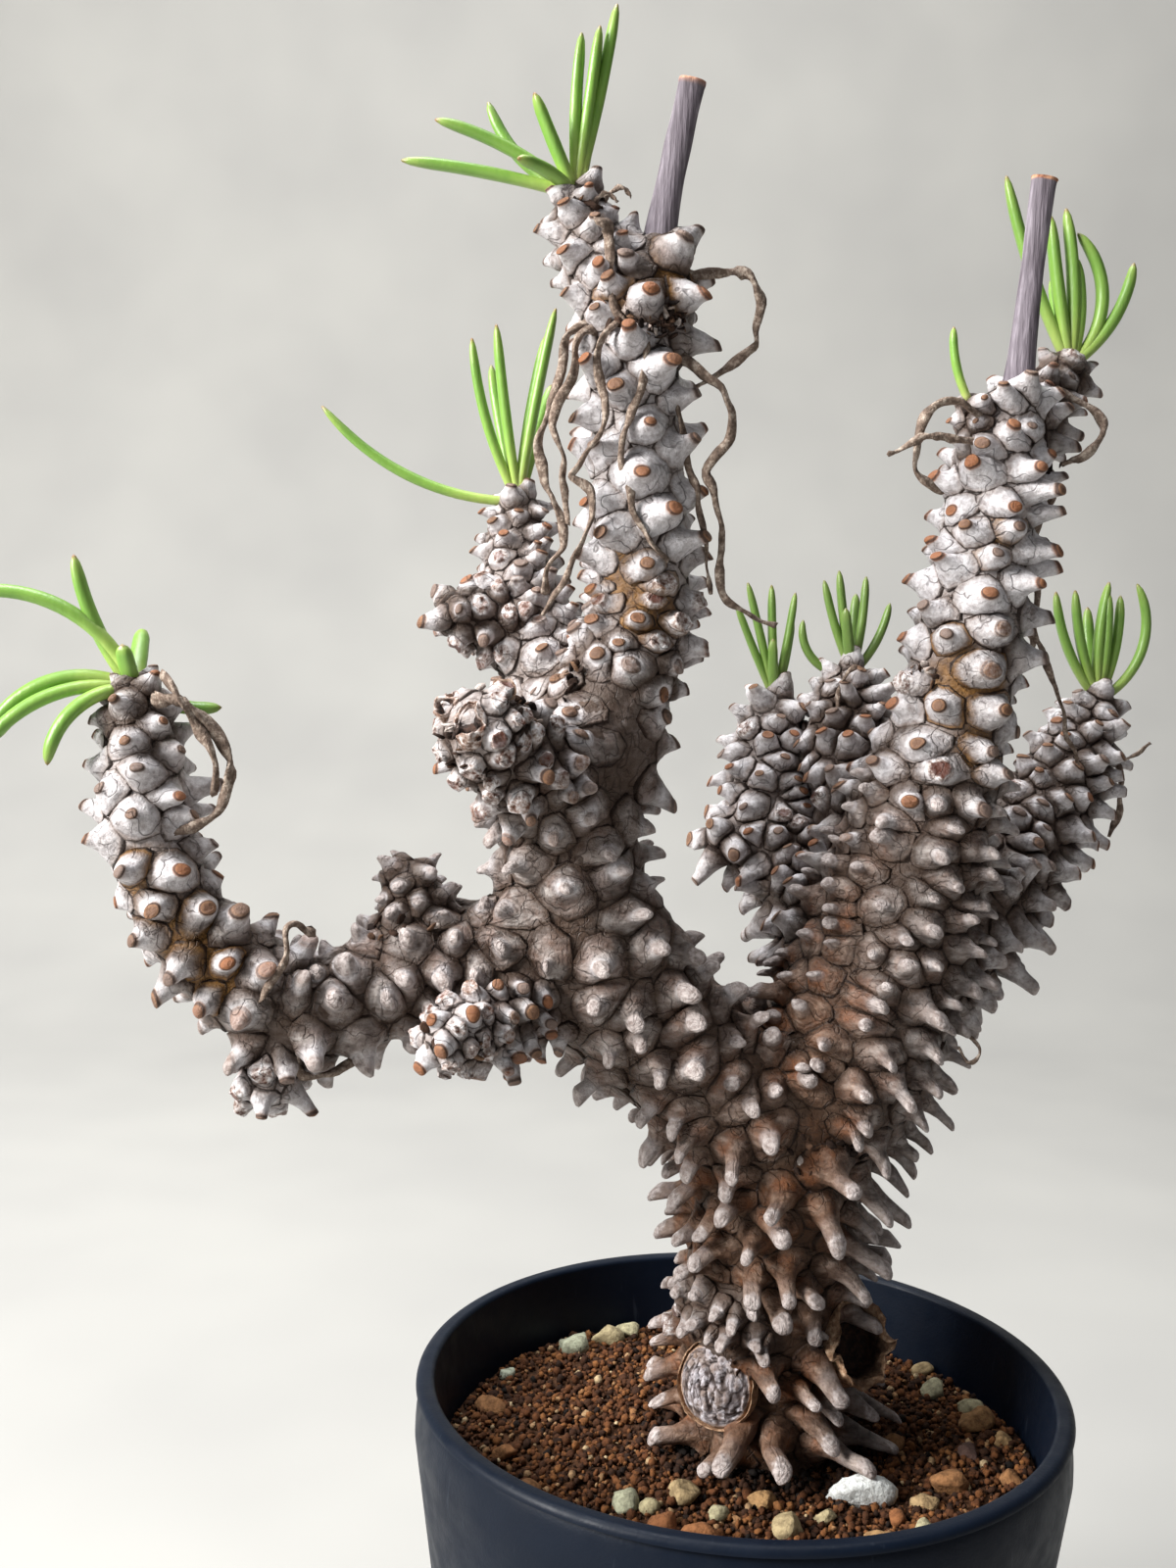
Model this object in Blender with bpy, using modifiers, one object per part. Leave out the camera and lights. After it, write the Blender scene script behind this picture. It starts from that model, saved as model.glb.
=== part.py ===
"""Potted tylecodon: a branching succulent stem covered in pegs, in a round plastic pot.

Metres, +Z up, the origin in the middle of the pot's underside, the photographed side towards -Y.
The plant's points are written in millimetres as (x, y, z, radius) and scaled by MM.
"""
import math
import random

import bmesh
import bpy
import numpy as np
from mathutils import Matrix, Vector, noise

MM = 0.001
SEAT = 0.3 * MM          # gap left between pieces that touch
WELD = 0.01 * MM         # points this near are merged
SHARP_ANGLE = 40         # degrees between faces from which an edge stays sharp

# Pot
POT_HEIGHT = 95 * MM
LIP_RADIUS = 52.5 * MM
LIP_WIDTH = 3.0 * MM
LIP_INNER_ROUND = 0.8 * MM
LIP_OUTER_ROUND = 1.3 * MM
FLARE_HEIGHT = 9.0 * MM  # the wall turns out to the lip over this height
FLARE = 1.4 * MM
FOOT_RADIUS = 41 * MM
FOOT_ROUND = 1.2 * MM
FLOOR = 5 * MM
FLOOR_RADIUS = 38.4 * MM
FLOOR_CHAMFER = 2.5 * MM
TURN_STEPS = 40
DRAIN_COUNT = 4
DRAIN_RADIUS = 4.5 * MM
DRAIN_RING = 24 * MM
DRAIN_SIDES = 16
NOTCH_WIDTH = 5 * MM
NOTCH_HEIGHT = 1.5 * MM

# Soil
SOIL_TOP = 83 * MM
SOIL_DISH = 0.6 * MM     # the soil stands this much lower at the wall
SOIL_RINGS = 8
GRAIN = 6.0 * MM
GRAIN_RISE = 2.4 * MM
STUMP_X = 4 * MM
STUMP_Y = 2 * MM
STUMP_RADIUS = 12.2 * MM
STUMP_BOTTOM = 62 * MM
STUMP_TOP = 91 * MM      # inside the trunk
STUMP_CLEARANCE = 0.8 * MM
STUMP_HOLE_SIDES = 24

# Stones on the soil in millimetres: x, y, length, width, turn in degrees
STONES = [
    (21, -16, 10, 6, 8), (-27, 34, 7, 5, 30), (-41, 9, 6, 4, -40), (-19, -21, 5, 4, 80),
    (-8, -30, 6, 5, 20), (5, -27, 5, 4, 60), (18, -29, 5, 4, -20), (32, -12, 6, 4, 10),
    (36, 19, 5, 4, 70), (41, 8, 7, 5, 50), (-17, 38, 5, 4, 0), (-34, -18, 5, 4, 45),
    (21, 36, 6, 4, -35), (1, 41, 5, 4, 15), (-38, -6, 4, 3, 0), (29, -29, 5, 3, 75),
]
STONE_HEIGHT = 0.4       # a stone's rise over the soil, as a share of its width
BIG_STONE = 6            # stones longer than this, in millimetres, have more faces

# Stem: cells of the peg lattice round each limb, then points through its middle
LIMBS = {
    "trunk": (8, [(4, 2, 84.8, 12.4), (4, 2, 91, 12.5), (3.5, 1.5, 100, 12.8),
                  (3.5, 0.5, 116, 12.5), (5, -1, 130, 12.8), (5.5, -1, 139, 12)]),
    "left_limb": (7, [(8, 0, 131, 8), (-1, -3, 140, 12), (-12, -5.5, 149.5, 11.3),
                      (-22, -8, 160, 11), (-28, -9.5, 170, 10)]),
    "column": (6, [(-24, -8.5, 159, 9), (-29.5, -10, 172, 10.5), (-30, -11, 184, 10),
                   (-28.5, -11, 194, 9.5), (-24.5, -11, 204, 8.5), (-21, -11, 213, 7.8),
                   (-20, -11, 221, 6.8), (-21, -12, 230, 7), (-21.5, -12, 240, 6.8), (-22.5, -12, 250, 6),
                   (-25, -12, 260, 5.2), (-29, -11, 270, 5), (-31, -10.5, 276, 3.6)]),
    "crown": (6, [(-22.5, -12, 253, 5.5), (-20.5, -12, 262, 6.2), (-19.5, -11, 268, 4.8)]),
    "arm": (6, [(-22, -8, 167, 8.5), (-35, -11, 165.5, 8.7), (-49, -14, 163.5, 8), (-60, -18, 159.5, 7.8),
                (-70, -22, 158, 7.6), (-79, -24, 164.5, 6.6), (-86, -25, 173, 6), (-90, -25, 183, 6),
                (-91, -24, 192, 5.8), (-92.5, -22.5, 202, 4)]),
    "spur": (6, [(-24, -9, 196, 6.5), (-33, -1, 206, 7), (-38, 4.5, 216, 6.2), (-40, 8, 225, 5),
                 (-40, 10, 233, 3.5)]),
    "spur_knob": (5, [(-35, 4, 212, 5), (-43, 0.5, 215, 4.8), (-48, -2, 216.5, 3.6)]),
    "dead_knob": (6, [(-30, -12, 188, 8), (-37.5, -23, 195, 7.2), (-42, -30, 199.5, 6)]),
    "nub": (5, [(-34, -12, 158, 5.5), (-42, -24, 156.5, 5.2), (-46, -30, 156, 4)]),
    "hump": (5, [(-53, -16, 164, 5.5), (-53.5, -14.5, 175.5, 4)]),
    "droop": (5, [(-71, -22, 156, 5.2), (-72.5, -25, 148, 4)]),
    "right_limb": (7, [(4, -1, 131, 8), (12, -0.5, 144, 13.8), (20, 1.5, 161, 13.2), (24, 3, 176, 11.4),
                       (27.5, 2, 192, 9)]),
    "riser": (6, [(21, 3, 172, 9.5), (27, 2, 191, 9.6), (30, 0, 205, 8.5), (31.5, -2, 217, 7.8),
                  (32.5, -3, 228, 7), (34, -5, 240, 6.2), (35.6, -6.5, 250, 3.9)]),
    "fork": (5, [(33, -3, 237, 5), (39.5, 1, 248.5, 4.8), (45, 3, 256, 3.5)]),
    "bud": (5, [(33, -5, 240, 4), (28.6, -8, 248.5, 2.3)]),
    "east": (6, [(15, 6, 162, 8.5), (9, 18, 173, 7.5), (4.5, 24, 182, 7), (4, 28, 193, 6.2),
                 (4.8, 30, 201.5, 4)]),
    "east_knob": (5, [(6, 23, 178, 5), (-4, 20, 179.5, 3.6)]),
    "far": (6, [(22, 8, 177, 8), (18, 20, 191, 7.4), (17, 26, 201, 6.2), (17.8, 28, 206.5, 3.8)]),
    "west": (6, [(22, 5, 160, 9.5), (31, 9, 165, 10.2), (40.5, 18, 173, 9.2), (49, 24, 182, 8),
                 (56, 29, 191.5, 6.8), (60, 32, 198.5, 5.4), (62, 33, 203, 3.8)]),
}
CELL_STRETCH = 1.42      # height of a lattice cell over its width
TANGENT_STEPS = 200      # a limb's direction is taken over two of this many parts of its length
FIRST_CORNER = (0.3, -1, 0.2)   # the lattice's corners are counted from this side
CORNER_SCATTER = 0.05    # how unevenly the lattice's corners lie, as a share of the radius
PEG_SEED = 7
LONG_PEG = 6.6 * MM      # pegs from this length have a shoulder
PEG_SHOULDER = (0.5, 0.14)   # width over the cell's, height over the peg's
PEG_TIP = 0.33           # width of a peg's tip over the cell's
SHORT_PEG_TIP = 0.38
PEG_BULK = 0.3           # width over the cell's that is kept clear where something stands
PEG_FLATTEN = 0.66       # a peg's section is this much shorter than its cell
# Length and droop of the pegs at heights up the plant, all in millimetres but the droop
PEG_HEIGHTS = (86, 96, 108, 130, 160, 190, 240, 280)
PEG_LENGTHS = (11, 8.5, 7, 6.2, 4.6, 3.4, 2.8, 2.4)
PEG_DROOPS = (0.5, 0.55, 0.45, 0.4, 0.25, 0.0, -0.15, -0.2)
PEG_LENGTH_SCATTER = 0.2
PEG_DROOP_SCATTER = 0.4
PEG_UNDERSIDE = 0.3      # pegs on a limb's underside are longer by this share, those on top shorter
PEG_SOIL_GAP = 2.0 * MM  # pegs end this far above the soil
COVER_EARLIER = 1.2 * MM # where limbs meet, a cell this deep in one listed before has no peg,
COVER_LATER = 0.5 * MM   # nor has one this near to one listed after
SEAT_MARGIN = 1.2 * MM   # pegs keep this far from what stands on a limb's end
SEAT_HEIGHT = 12 * MM
BARE_END_RISE = 2.5 * MM # the end of a limb that carries nothing is a blunt knob
BARE_END_WIDTH = 0.55    # as a share of the limb's

# The round scar of a cut limb and the hollow stub, on the trunk: place, direction, sizes
SCAR_MIDDLE = (4 * MM, 2 * MM, 93 * MM)
SCAR_DIRECTION = (-0.62, -0.78, 0.05)
SCAR_RADIUS = 5.6 * MM
SCAR_REACH = 14.2 * MM
STUB_MIDDLE = (4 * MM, 2 * MM, 99 * MM)
STUB_DIRECTION = (0.93, -0.35, 0.12)
STUB_RADIUS = 6.4 * MM
STUB_REACH = 16 * MM
STUB_HOLLOW_RADIUS = 4.4 * MM
STUB_HOLLOW_DEPTH = 6 * MM
POST_START = 6 * MM      # both start this far from the trunk's middle, inside it
POST_SIDES = 12
POST_TAPER = 0.9

# Withered leaves: threads that hang from the limbs, as thickness and points (x, y, z) in millimetres
THREAD_SIDES = 4
THREADS = [
    (1.5, [(-26, -13, 258), (-32, -15, 254), (-33, -15, 247), (-35, -14, 240), (-33, -12, 234),
           (-34, -11, 226), (-35, -10, 217)]),
    (1.3, [(-25, -14, 255), (-30, -18, 249), (-29, -19, 241), (-32, -18, 236), (-30, -17, 229),
           (-34, -15, 221)]),
    (1.4, [(-19, -13, 256), (-10.5, -17, 250), (-8.5, -17, 243), (-11.5, -17, 237), (-9, -15, 229),
           (-8.6, -14, 221), (-4.5, -13, 217), (0, -12, 215.5)]),
    (1.4, [(-19, -12, 265), (-8, -13, 266.5), (-4.4, -13, 263), (-4.6, -13, 257), (-9.5, -13, 252),
           (-13.5, -12, 250)]),
    (1.4, [(-89, -26, 197), (-84, -28.5, 203), (-79, -28, 199), (-77.5, -27, 191), (-81, -26, 184.5),
           (-87, -25, 182)]),
    (1.3, [(32, -8, 244), (26, -12.5, 248.5), (21, -13, 246), (19.5, -12, 240), (21.5, -11, 236.5),
           (24, -10, 235.5)]),
    (1.3, [(42, -3, 253), (48, -4, 249), (46.5, -5, 243.5), (43, -5, 242)]),
    (1.4, [(36, -2, 243), (44, 3, 238.5), (42.5, 5, 232), (41.5, 8, 222), (44, 10, 214), (40.5, 12, 209),
           (33, 12, 207)]),
    (1.3, [(61, 31, 200), (66, 30, 194), (66.5, 29, 187), (64, 28, 181)]),
    (1.3, [(-49.5, -14, 160), (-58, -20, 152), (-66, -27, 149.5), (-68, -28, 156)]),
]

# Leaf tufts: the limb that carries each, then its leaves as
# (compass direction, lean at the root, lean at the tip, length in millimetres);
# direction 0 is +X and 90 is +Y, lean 0 is upright and 90 is level
LEAF_RADIUS = 1.25 * MM
LEAF_SIDES = 4
LEAF_STATIONS = (0, 0.22, 0.52, 0.84, 1)
LEAF_PROFILE = (0.75, 0.95, 1, 0.8, 0.3)
CORE_HEIGHT = 3.2 * MM
CORE_SIDES = 8
CORE_PROFILE = ((0, 0.8), (0.7, 0.7), (1, 0.3))  # shares of the height, widths over the limb end's
CORE_FULL_RADIUS = 3.5 * MM   # on a thinner limb the core is lower too
LEAF_ROOT = 0.55         # the leaves start at this share of the core's height
TUFTS = {
    "leaves_arm": ("arm", 1.15, [(180, 40, 10, 21), (185, 20, 115, 34), (190, 62, 165, 26),
                                 (170, 70, 150, 25), (200, 78, 158, 27), (215, 85, 175, 18),
                                 (12, 78, 135, 16), (250, 30, 20, 7), (100, 45, 60, 14)]),
    "leaves_spur": ("spur", 0.9, [(182, 92, 40, 36), (185, 30, 5, 27), (200, 12, 6, 28), (350, 8, 12, 31),
                                  (20, 5, 12, 27), (60, 22, 28, 22), (130, 25, 15, 24)]),
    "leaves_column": ("column", 1.1, [(180, 75, 86, 26), (185, 52, 78, 23), (160, 70, 20, 21),
                                      (210, 32, 26, 15), (180, 5, -6, 23), (350, 8, 6, 24), (10, 14, 8, 28),
                                      (225, 62, 92, 12), (80, 40, 30, 16)]),
    "leaves_fork": ("fork", 1.05, [(175, 28, 14, 31), (190, 14, 8, 23), (10, 5, -14, 24), (5, 50, -48, 23),
                                   (20, 18, -18, 17), (0, 55, 5, 19), (95, 35, 25, 18)]),
    "leaves_bud": ("bud", 0.7, [(180, 30, -2, 11)]),
    "leaves_east": ("east", 0.8, [(180, 26, 22, 18), (190, 15, 16, 21), (200, 6, 2, 20), (0, 12, 6, 19),
                                  (60, 32, 15, 16), (250, 25, 5, 11)]),
    "leaves_far": ("far", 0.85, [(180, 26, 12, 17), (190, 14, 6, 18), (5, 12, 0, 17), (0, 44, 8, 14),
                                 (240, 28, 14, 12), (185, 100, -10, 15), (80, 30, 10, 15)]),
    "leaves_west": ("west", 0.95, [(180, 42, 6, 21), (185, 26, 4, 20), (200, 8, -14, 21), (350, 10, -4, 19),
                                   (10, 24, -4, 19), (0, 62, -30, 24), (95, 35, 10, 18)]),
}

# Cut flower stalks: the limb that carries each, then (x, y, z, radius) up from its end
STALKS = {
    "flower_stalk_left": ("crown", [(-18.2, -11, 277, 2.5), (-16.6, -11, 286, 2.4),
                                    (-14.9, -11.5, 294.5, 2.5)]),
    "flower_stalk_right": ("riser", [(35.9, -7.3, 257, 2.3), (36.8, -7, 269, 2.1), (37.7, -7, 280.5, 2.1),
                                     (38, -7, 283, 2.3)]),
}
STALK_SIDES = 8
STALK_FOOT = 1.2         # width of a stalk's foot over the stalk's
STALK_FOOT_SHARE = 0.8   # and at most this share of the limb's end
STALK_FOOT_HEIGHT = 3 * MM

# Finishes: linear colour and roughness
POT_PLASTIC = ((0.012, 0.016, 0.026), 0.45)
CLAY_GRANULES = ((0.16, 0.08, 0.04), 0.95)
STEM_SKIN = ((0.30, 0.25, 0.22), 0.7)
LEAF_SKIN = ((0.14, 0.30, 0.06), 0.5)
DRY_STALK = ((0.17, 0.13, 0.13), 0.85)


def clear_scene():
    for item in list(bpy.data.objects):
        bpy.data.objects.remove(item)


def new_collection(name):
    collection = bpy.data.collections.new(name)
    bpy.context.scene.collection.children.link(collection)
    return collection


def material(name, finish):
    colour, roughness = finish
    made = bpy.data.materials.new(name)
    made.use_nodes = True
    shader = made.node_tree.nodes["Principled BSDF"]
    shader.inputs["Base Color"].default_value = (*colour, 1)
    shader.inputs["Roughness"].default_value = roughness
    return made


def add_object(name, mesh, collection, finish=None):
    item = bpy.data.objects.new(name, mesh)
    collection.objects.link(item)
    if finish:
        mesh.materials.append(finish)
    return item


def add_shape(name, shape, collection, finish=None):
    """Turns a bmesh into an object and frees it."""
    mesh = bpy.data.meshes.new(name)
    shape.to_mesh(mesh)
    shape.free()
    return add_object(name, mesh, collection, finish)


def settle(item):
    """Replaces an object's mesh by what its modifiers make of it."""
    bpy.context.view_layer.update()
    evaluated = item.evaluated_get(bpy.context.evaluated_depsgraph_get())
    mesh = bpy.data.meshes.new_from_object(evaluated)
    old = item.data
    item.modifiers.clear()
    item.data = mesh
    bpy.data.meshes.remove(old)


def keep_largest_surface(item):
    """Drops loose scraps and the walls of sealed hollows, so only the outer surface stays.

    Surfaces that only touch along an edge, which has four faces, count as apart.
    """
    shape = bmesh.new()
    shape.from_mesh(item.data)
    bmesh.ops.triangulate(shape, faces=shape.faces)
    waiting = set(shape.faces)
    surfaces = []
    while waiting:
        reached = [waiting.pop()]
        for face in reached:
            whole = [edge for edge in face.edges if len(edge.link_faces) == 2]
            near = {other for edge in whole for other in edge.link_faces} & waiting
            waiting -= near
            reached.extend(near)
        surfaces.append(reached)
    surfaces.sort(key=len)
    loose = [face for surface in surfaces[:-1] for face in surface]
    bmesh.ops.delete(shape, geom=loose, context="FACES")
    shape.to_mesh(item.data)
    shape.free()


def fuse(body, pieces):
    """Joins the pieces' solids to the body's by one union, and leaves a single mesh."""
    group = new_collection(body.name + " pieces")
    for piece in pieces:
        group.objects.link(piece)
    union = body.modifiers.new("Fuse", "BOOLEAN")
    union.operation = "UNION"
    union.operand_type = "COLLECTION"
    union.collection = group
    union.solver = "MANIFOLD"
    settle(body)
    keep_largest_surface(body)
    for piece in pieces:
        bpy.data.objects.remove(piece)
    bpy.data.collections.remove(group)


def cut(item, cutter, name):
    difference = item.modifiers.new(name, "BOOLEAN")
    difference.operation = "DIFFERENCE"
    difference.object = cutter


def cutter_object(name, shape, collection):
    item = add_shape(name, shape, collection)
    item.hide_render = True
    item.display_type = "WIRE"
    return item


def turned(name, profile, collection, finish):
    """A profile of (radius, height) points turned round the Z axis."""
    mesh = bpy.data.meshes.new(name)
    edges = [(i, i + 1) for i in range(len(profile) - 1)]
    mesh.from_pydata([(radius, 0, height) for radius, height in profile], edges, [])
    item = add_object(name, mesh, collection, finish)
    turn = item.modifiers.new("Turn", "SCREW")
    turn.steps = TURN_STEPS
    turn.render_steps = TURN_STEPS
    turn.use_merge_vertices = True
    turn.merge_threshold = WELD
    return item


def arc(middle_x, middle_z, radius, start, end, count):
    """Points on an arc, with its start and end in degrees from +X towards +Z."""
    angles = [math.radians(start + (end - start) * i / (count - 1)) for i in range(count)]
    return [(middle_x + radius * math.cos(a), middle_z + radius * math.sin(a)) for a in angles]


def inner_radius(height):
    """Radius of the pot's inner wall, which is a cone from the floor to the lip."""
    share = (height - FLOOR) / (POT_HEIGHT - FLOOR)
    return FLOOR_RADIUS + share * (LIP_RADIUS - LIP_WIDTH - FLOOR_RADIUS)


def build_pot(collection, cutters):
    wall_top = POT_HEIGHT - FLARE_HEIGHT
    wall_radius = LIP_RADIUS - FLARE
    flare = [(wall_radius + FLARE * (1 - math.cos(share * math.pi / 2)),
              wall_top + share * (FLARE_HEIGHT - LIP_OUTER_ROUND)) for share in (0.75, 0.4, 0)]
    profile = [(0, FLOOR), (FLOOR_RADIUS - FLOOR_CHAMFER, FLOOR),
               (inner_radius(FLOOR + FLOOR_CHAMFER), FLOOR + FLOOR_CHAMFER)]
    profile += arc(LIP_RADIUS - LIP_WIDTH + LIP_INNER_ROUND, POT_HEIGHT - LIP_INNER_ROUND, LIP_INNER_ROUND,
                   180, 90, 3)
    profile += arc(LIP_RADIUS - LIP_OUTER_ROUND, POT_HEIGHT - LIP_OUTER_ROUND, LIP_OUTER_ROUND, 90, 0, 4)
    profile += flare
    profile += arc(FOOT_RADIUS - FOOT_ROUND, FOOT_ROUND, FOOT_ROUND, 0, -90, 3)
    profile += [(0, 0)]
    pot = turned("pot", profile, collection, material("pot plastic", POT_PLASTIC))
    drains = bmesh.new()
    for i in range(DRAIN_COUNT):
        turn = Matrix.Rotation((i + 0.5) * math.tau / DRAIN_COUNT, 4, "Z")
        place = turn @ Matrix.Translation((DRAIN_RING, 0, FLOOR / 2))
        bmesh.ops.create_cone(drains, cap_ends=True, segments=DRAIN_SIDES, radius1=DRAIN_RADIUS,
                              radius2=DRAIN_RADIUS, depth=FLOOR * 2, matrix=place)
    cut(pot, cutter_object("drain cutter", drains, cutters), "Drains")
    notches = bmesh.new()
    for i in range(DRAIN_COUNT):
        turn = Matrix.Rotation((i + 0.5) * math.tau / DRAIN_COUNT, 4, "Z")
        size = Matrix.Diagonal((FOOT_RADIUS, NOTCH_WIDTH, NOTCH_HEIGHT * 2, 1))
        place = turn @ Matrix.Translation((DRAIN_RING + FOOT_RADIUS / 2, 0, 0)) @ size
        bmesh.ops.create_cube(notches, size=1, matrix=place)
    cut(pot, cutter_object("notch cutter", notches, cutters), "Notches")
    return pot


def soil_relief(place):
    """Height of the granules over the soil's level: domes round scattered cell points."""
    distances, _ = noise.voronoi(place / GRAIN)
    return GRAIN_RISE * (0.5 - distances[0])


def build_soil(collection, cutters):
    edge_z = SOIL_TOP - SOIL_DISH
    edge = inner_radius(edge_z) - SEAT
    shares = [i / SOIL_RINGS for i in range(SOIL_RINGS + 1)]
    rings = [(edge * share, SOIL_TOP - SOIL_DISH * share ** 2) for share in shares]
    low = FLOOR + SEAT
    profile = rings + [(inner_radius(low + FLOOR_CHAMFER) - SEAT, low + FLOOR_CHAMFER),
                       (FLOOR_RADIUS - FLOOR_CHAMFER - SEAT, low), (0, low)]
    soil = turned("soil", profile, collection, material("clay granules", CLAY_GRANULES))
    settle(soil)
    for vertex in soil.data.vertices:
        flat = Vector((vertex.co.x, vertex.co.y, 0))
        if vertex.co.z > edge_z - SEAT and flat.length < edge - SEAT:
            vertex.co.z += soil_relief(flat)
    stones = []
    for index, (x, y, length, width, turn) in enumerate(STONES):
        shape = bmesh.new()
        size = Matrix.Diagonal((length * MM / 2, width * MM / 2, width * MM * STONE_HEIGHT, 1))
        spin = Matrix.Rotation(math.radians(turn), 4, "Z")
        place = Matrix.Translation((x * MM, y * MM, SOIL_TOP)) @ spin @ size
        bmesh.ops.create_icosphere(shape, subdivisions=2 if length > BIG_STONE else 1, radius=1, matrix=place)
        stones.append(add_shape(f"stone {index}", shape, collection))
    fuse(soil, stones)
    hole = bmesh.new()
    bottom = STUMP_BOTTOM - SEAT
    depth = SOIL_TOP - bottom + GRAIN
    bmesh.ops.create_cone(hole, cap_ends=True, segments=STUMP_HOLE_SIDES, depth=depth,
                          radius1=STUMP_RADIUS + STUMP_CLEARANCE, radius2=STUMP_RADIUS + STUMP_CLEARANCE,
                          matrix=Matrix.Translation((STUMP_X, STUMP_Y, bottom + depth / 2)))
    cut(soil, cutter_object("trunk hole cutter", hole, cutters), "Trunk hole")
    return soil


def spline(points, per_span=12):
    """A smooth curve through the points: cubics whose end slopes are half the neighbours' chord."""
    rows = np.array([points[0], *points, points[-1]], dtype=float)
    t = np.linspace(0, 1, per_span, endpoint=False)[:, None]
    spans = [b + t / 2 * ((c - a) + t * ((2 * a - 5 * b + 4 * c - d) + t * (3 * (b - c) + d - a)))
             for a, b, c, d in zip(rows, rows[1:], rows[2:], rows[3:])]
    return np.vstack([*spans, rows[-1:]]) * MM


def limb_rows(points, around):
    """Rows of the lattice along a limb: (middle, tangent, side, radius), closer where it is thin."""
    curve = spline(points)
    along = np.concatenate([[0], np.cumsum(np.linalg.norm(np.diff(curve[:, :3], axis=0), axis=1))])
    stations = [0.0]
    while stations[-1] < along[-1]:
        radius = np.interp(stations[-1], along, curve[:, 3])
        stations.append(stations[-1] + CELL_STRETCH * math.pi * radius / around)
    stations = np.array(stations) * along[-1] / stations[-1]
    rows = []
    side = Vector(FIRST_CORNER)
    step = along[-1] / TANGENT_STEPS
    for s in stations:
        middle = Vector([np.interp(s, along, curve[:, k]) for k in range(3)])
        ahead = Vector([np.interp(s + step, along, curve[:, k]) for k in range(3)])
        behind = Vector([np.interp(s - step, along, curve[:, k]) for k in range(3)])
        tangent = (ahead - behind).normalized()
        side = (side - side.project(tangent)).normalized()
        rows.append((middle, tangent, side, float(np.interp(s, along, curve[:, 3]))))
    return rows


def lattice(shape, rows, around, draw):
    """A closed tube of diamond cells: each row of corners lies half a cell round from the last.

    Returns the cells as (face, index of the row at the cell's middle), and the face of the far end.
    """
    corners = []
    last = len(rows) - 1
    for j, (middle, tangent, side, radius) in enumerate(rows):
        up = tangent.cross(side)
        scatter = 0 if j in (0, last) or middle.z < SOIL_TOP + GRAIN_RISE else CORNER_SCATTER
        ring = []
        for i in range(around):
            angle = math.tau * (i + 0.5 * (j % 2)) / around
            out = side * math.cos(angle) + up * math.sin(angle)
            ring.append(shape.verts.new(middle + out * radius * (1 + scatter * draw.uniform(-1, 1))))
        corners.append(ring)
    cells = []
    for j in range(last - 1):
        shift = j % 2
        for i in range(around):
            right = corners[j + 1][(i + shift) % around]
            left = corners[j + 1][(i + shift - 1) % around]
            cells.append((shape.faces.new((corners[j][i], right, corners[j + 2][i], left)), j + 1))
    for i in range(around):
        follow = (i + 1) % around
        shape.faces.new((corners[0][i], corners[0][follow], corners[1][i]))
        between = corners[last - 1][i if last % 2 == 0 else follow]
        shape.faces.new((between, corners[last][follow], corners[last][i]))
    shape.faces.new(list(reversed(corners[0])))
    return cells, shape.faces.new(corners[last])


def raise_peg(shape, face, tangent, out, length, scales):
    """Lifts a cell's face along a direction in steps of (width, height) shares."""
    middle = face.calc_center_median()
    spokes = [corner.co - middle for corner in face.verts]
    spokes = [spoke - spoke.project(tangent) * (1 - PEG_FLATTEN) for spoke in spokes]
    for width, height in scales:
        face = bmesh.ops.extrude_discrete_faces(shape, faces=[face])["faces"][0]
        for corner, spoke in zip(face.verts, spokes):
            corner.co = middle + spoke * width + out * length * height


def reaches_a_seat(points):
    """Whether any of a peg's points stands in the way of a tuft or stalk on some limb's end."""
    for carrier in [row[0] for row in [*TUFTS.values(), *STALKS.values()]]:
        end, way, radius = limb_end(carrier)
        for point in points:
            ahead = (point - end).dot(way)
            aside = (point - end - way * ahead).length
            if 0 < ahead < SEAT_HEIGHT and aside < radius + SEAT_MARGIN:
                return True
    return False


def is_inside(point, limbs, margin):
    """Whether a point lies inside any of the limbs, each made thicker by the margin."""
    near = [np.linalg.norm(limb[:, :3] - np.array(point), axis=1) < limb[:, 3] + margin for limb in limbs]
    return any(hit.any() for hit in near)


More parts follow.
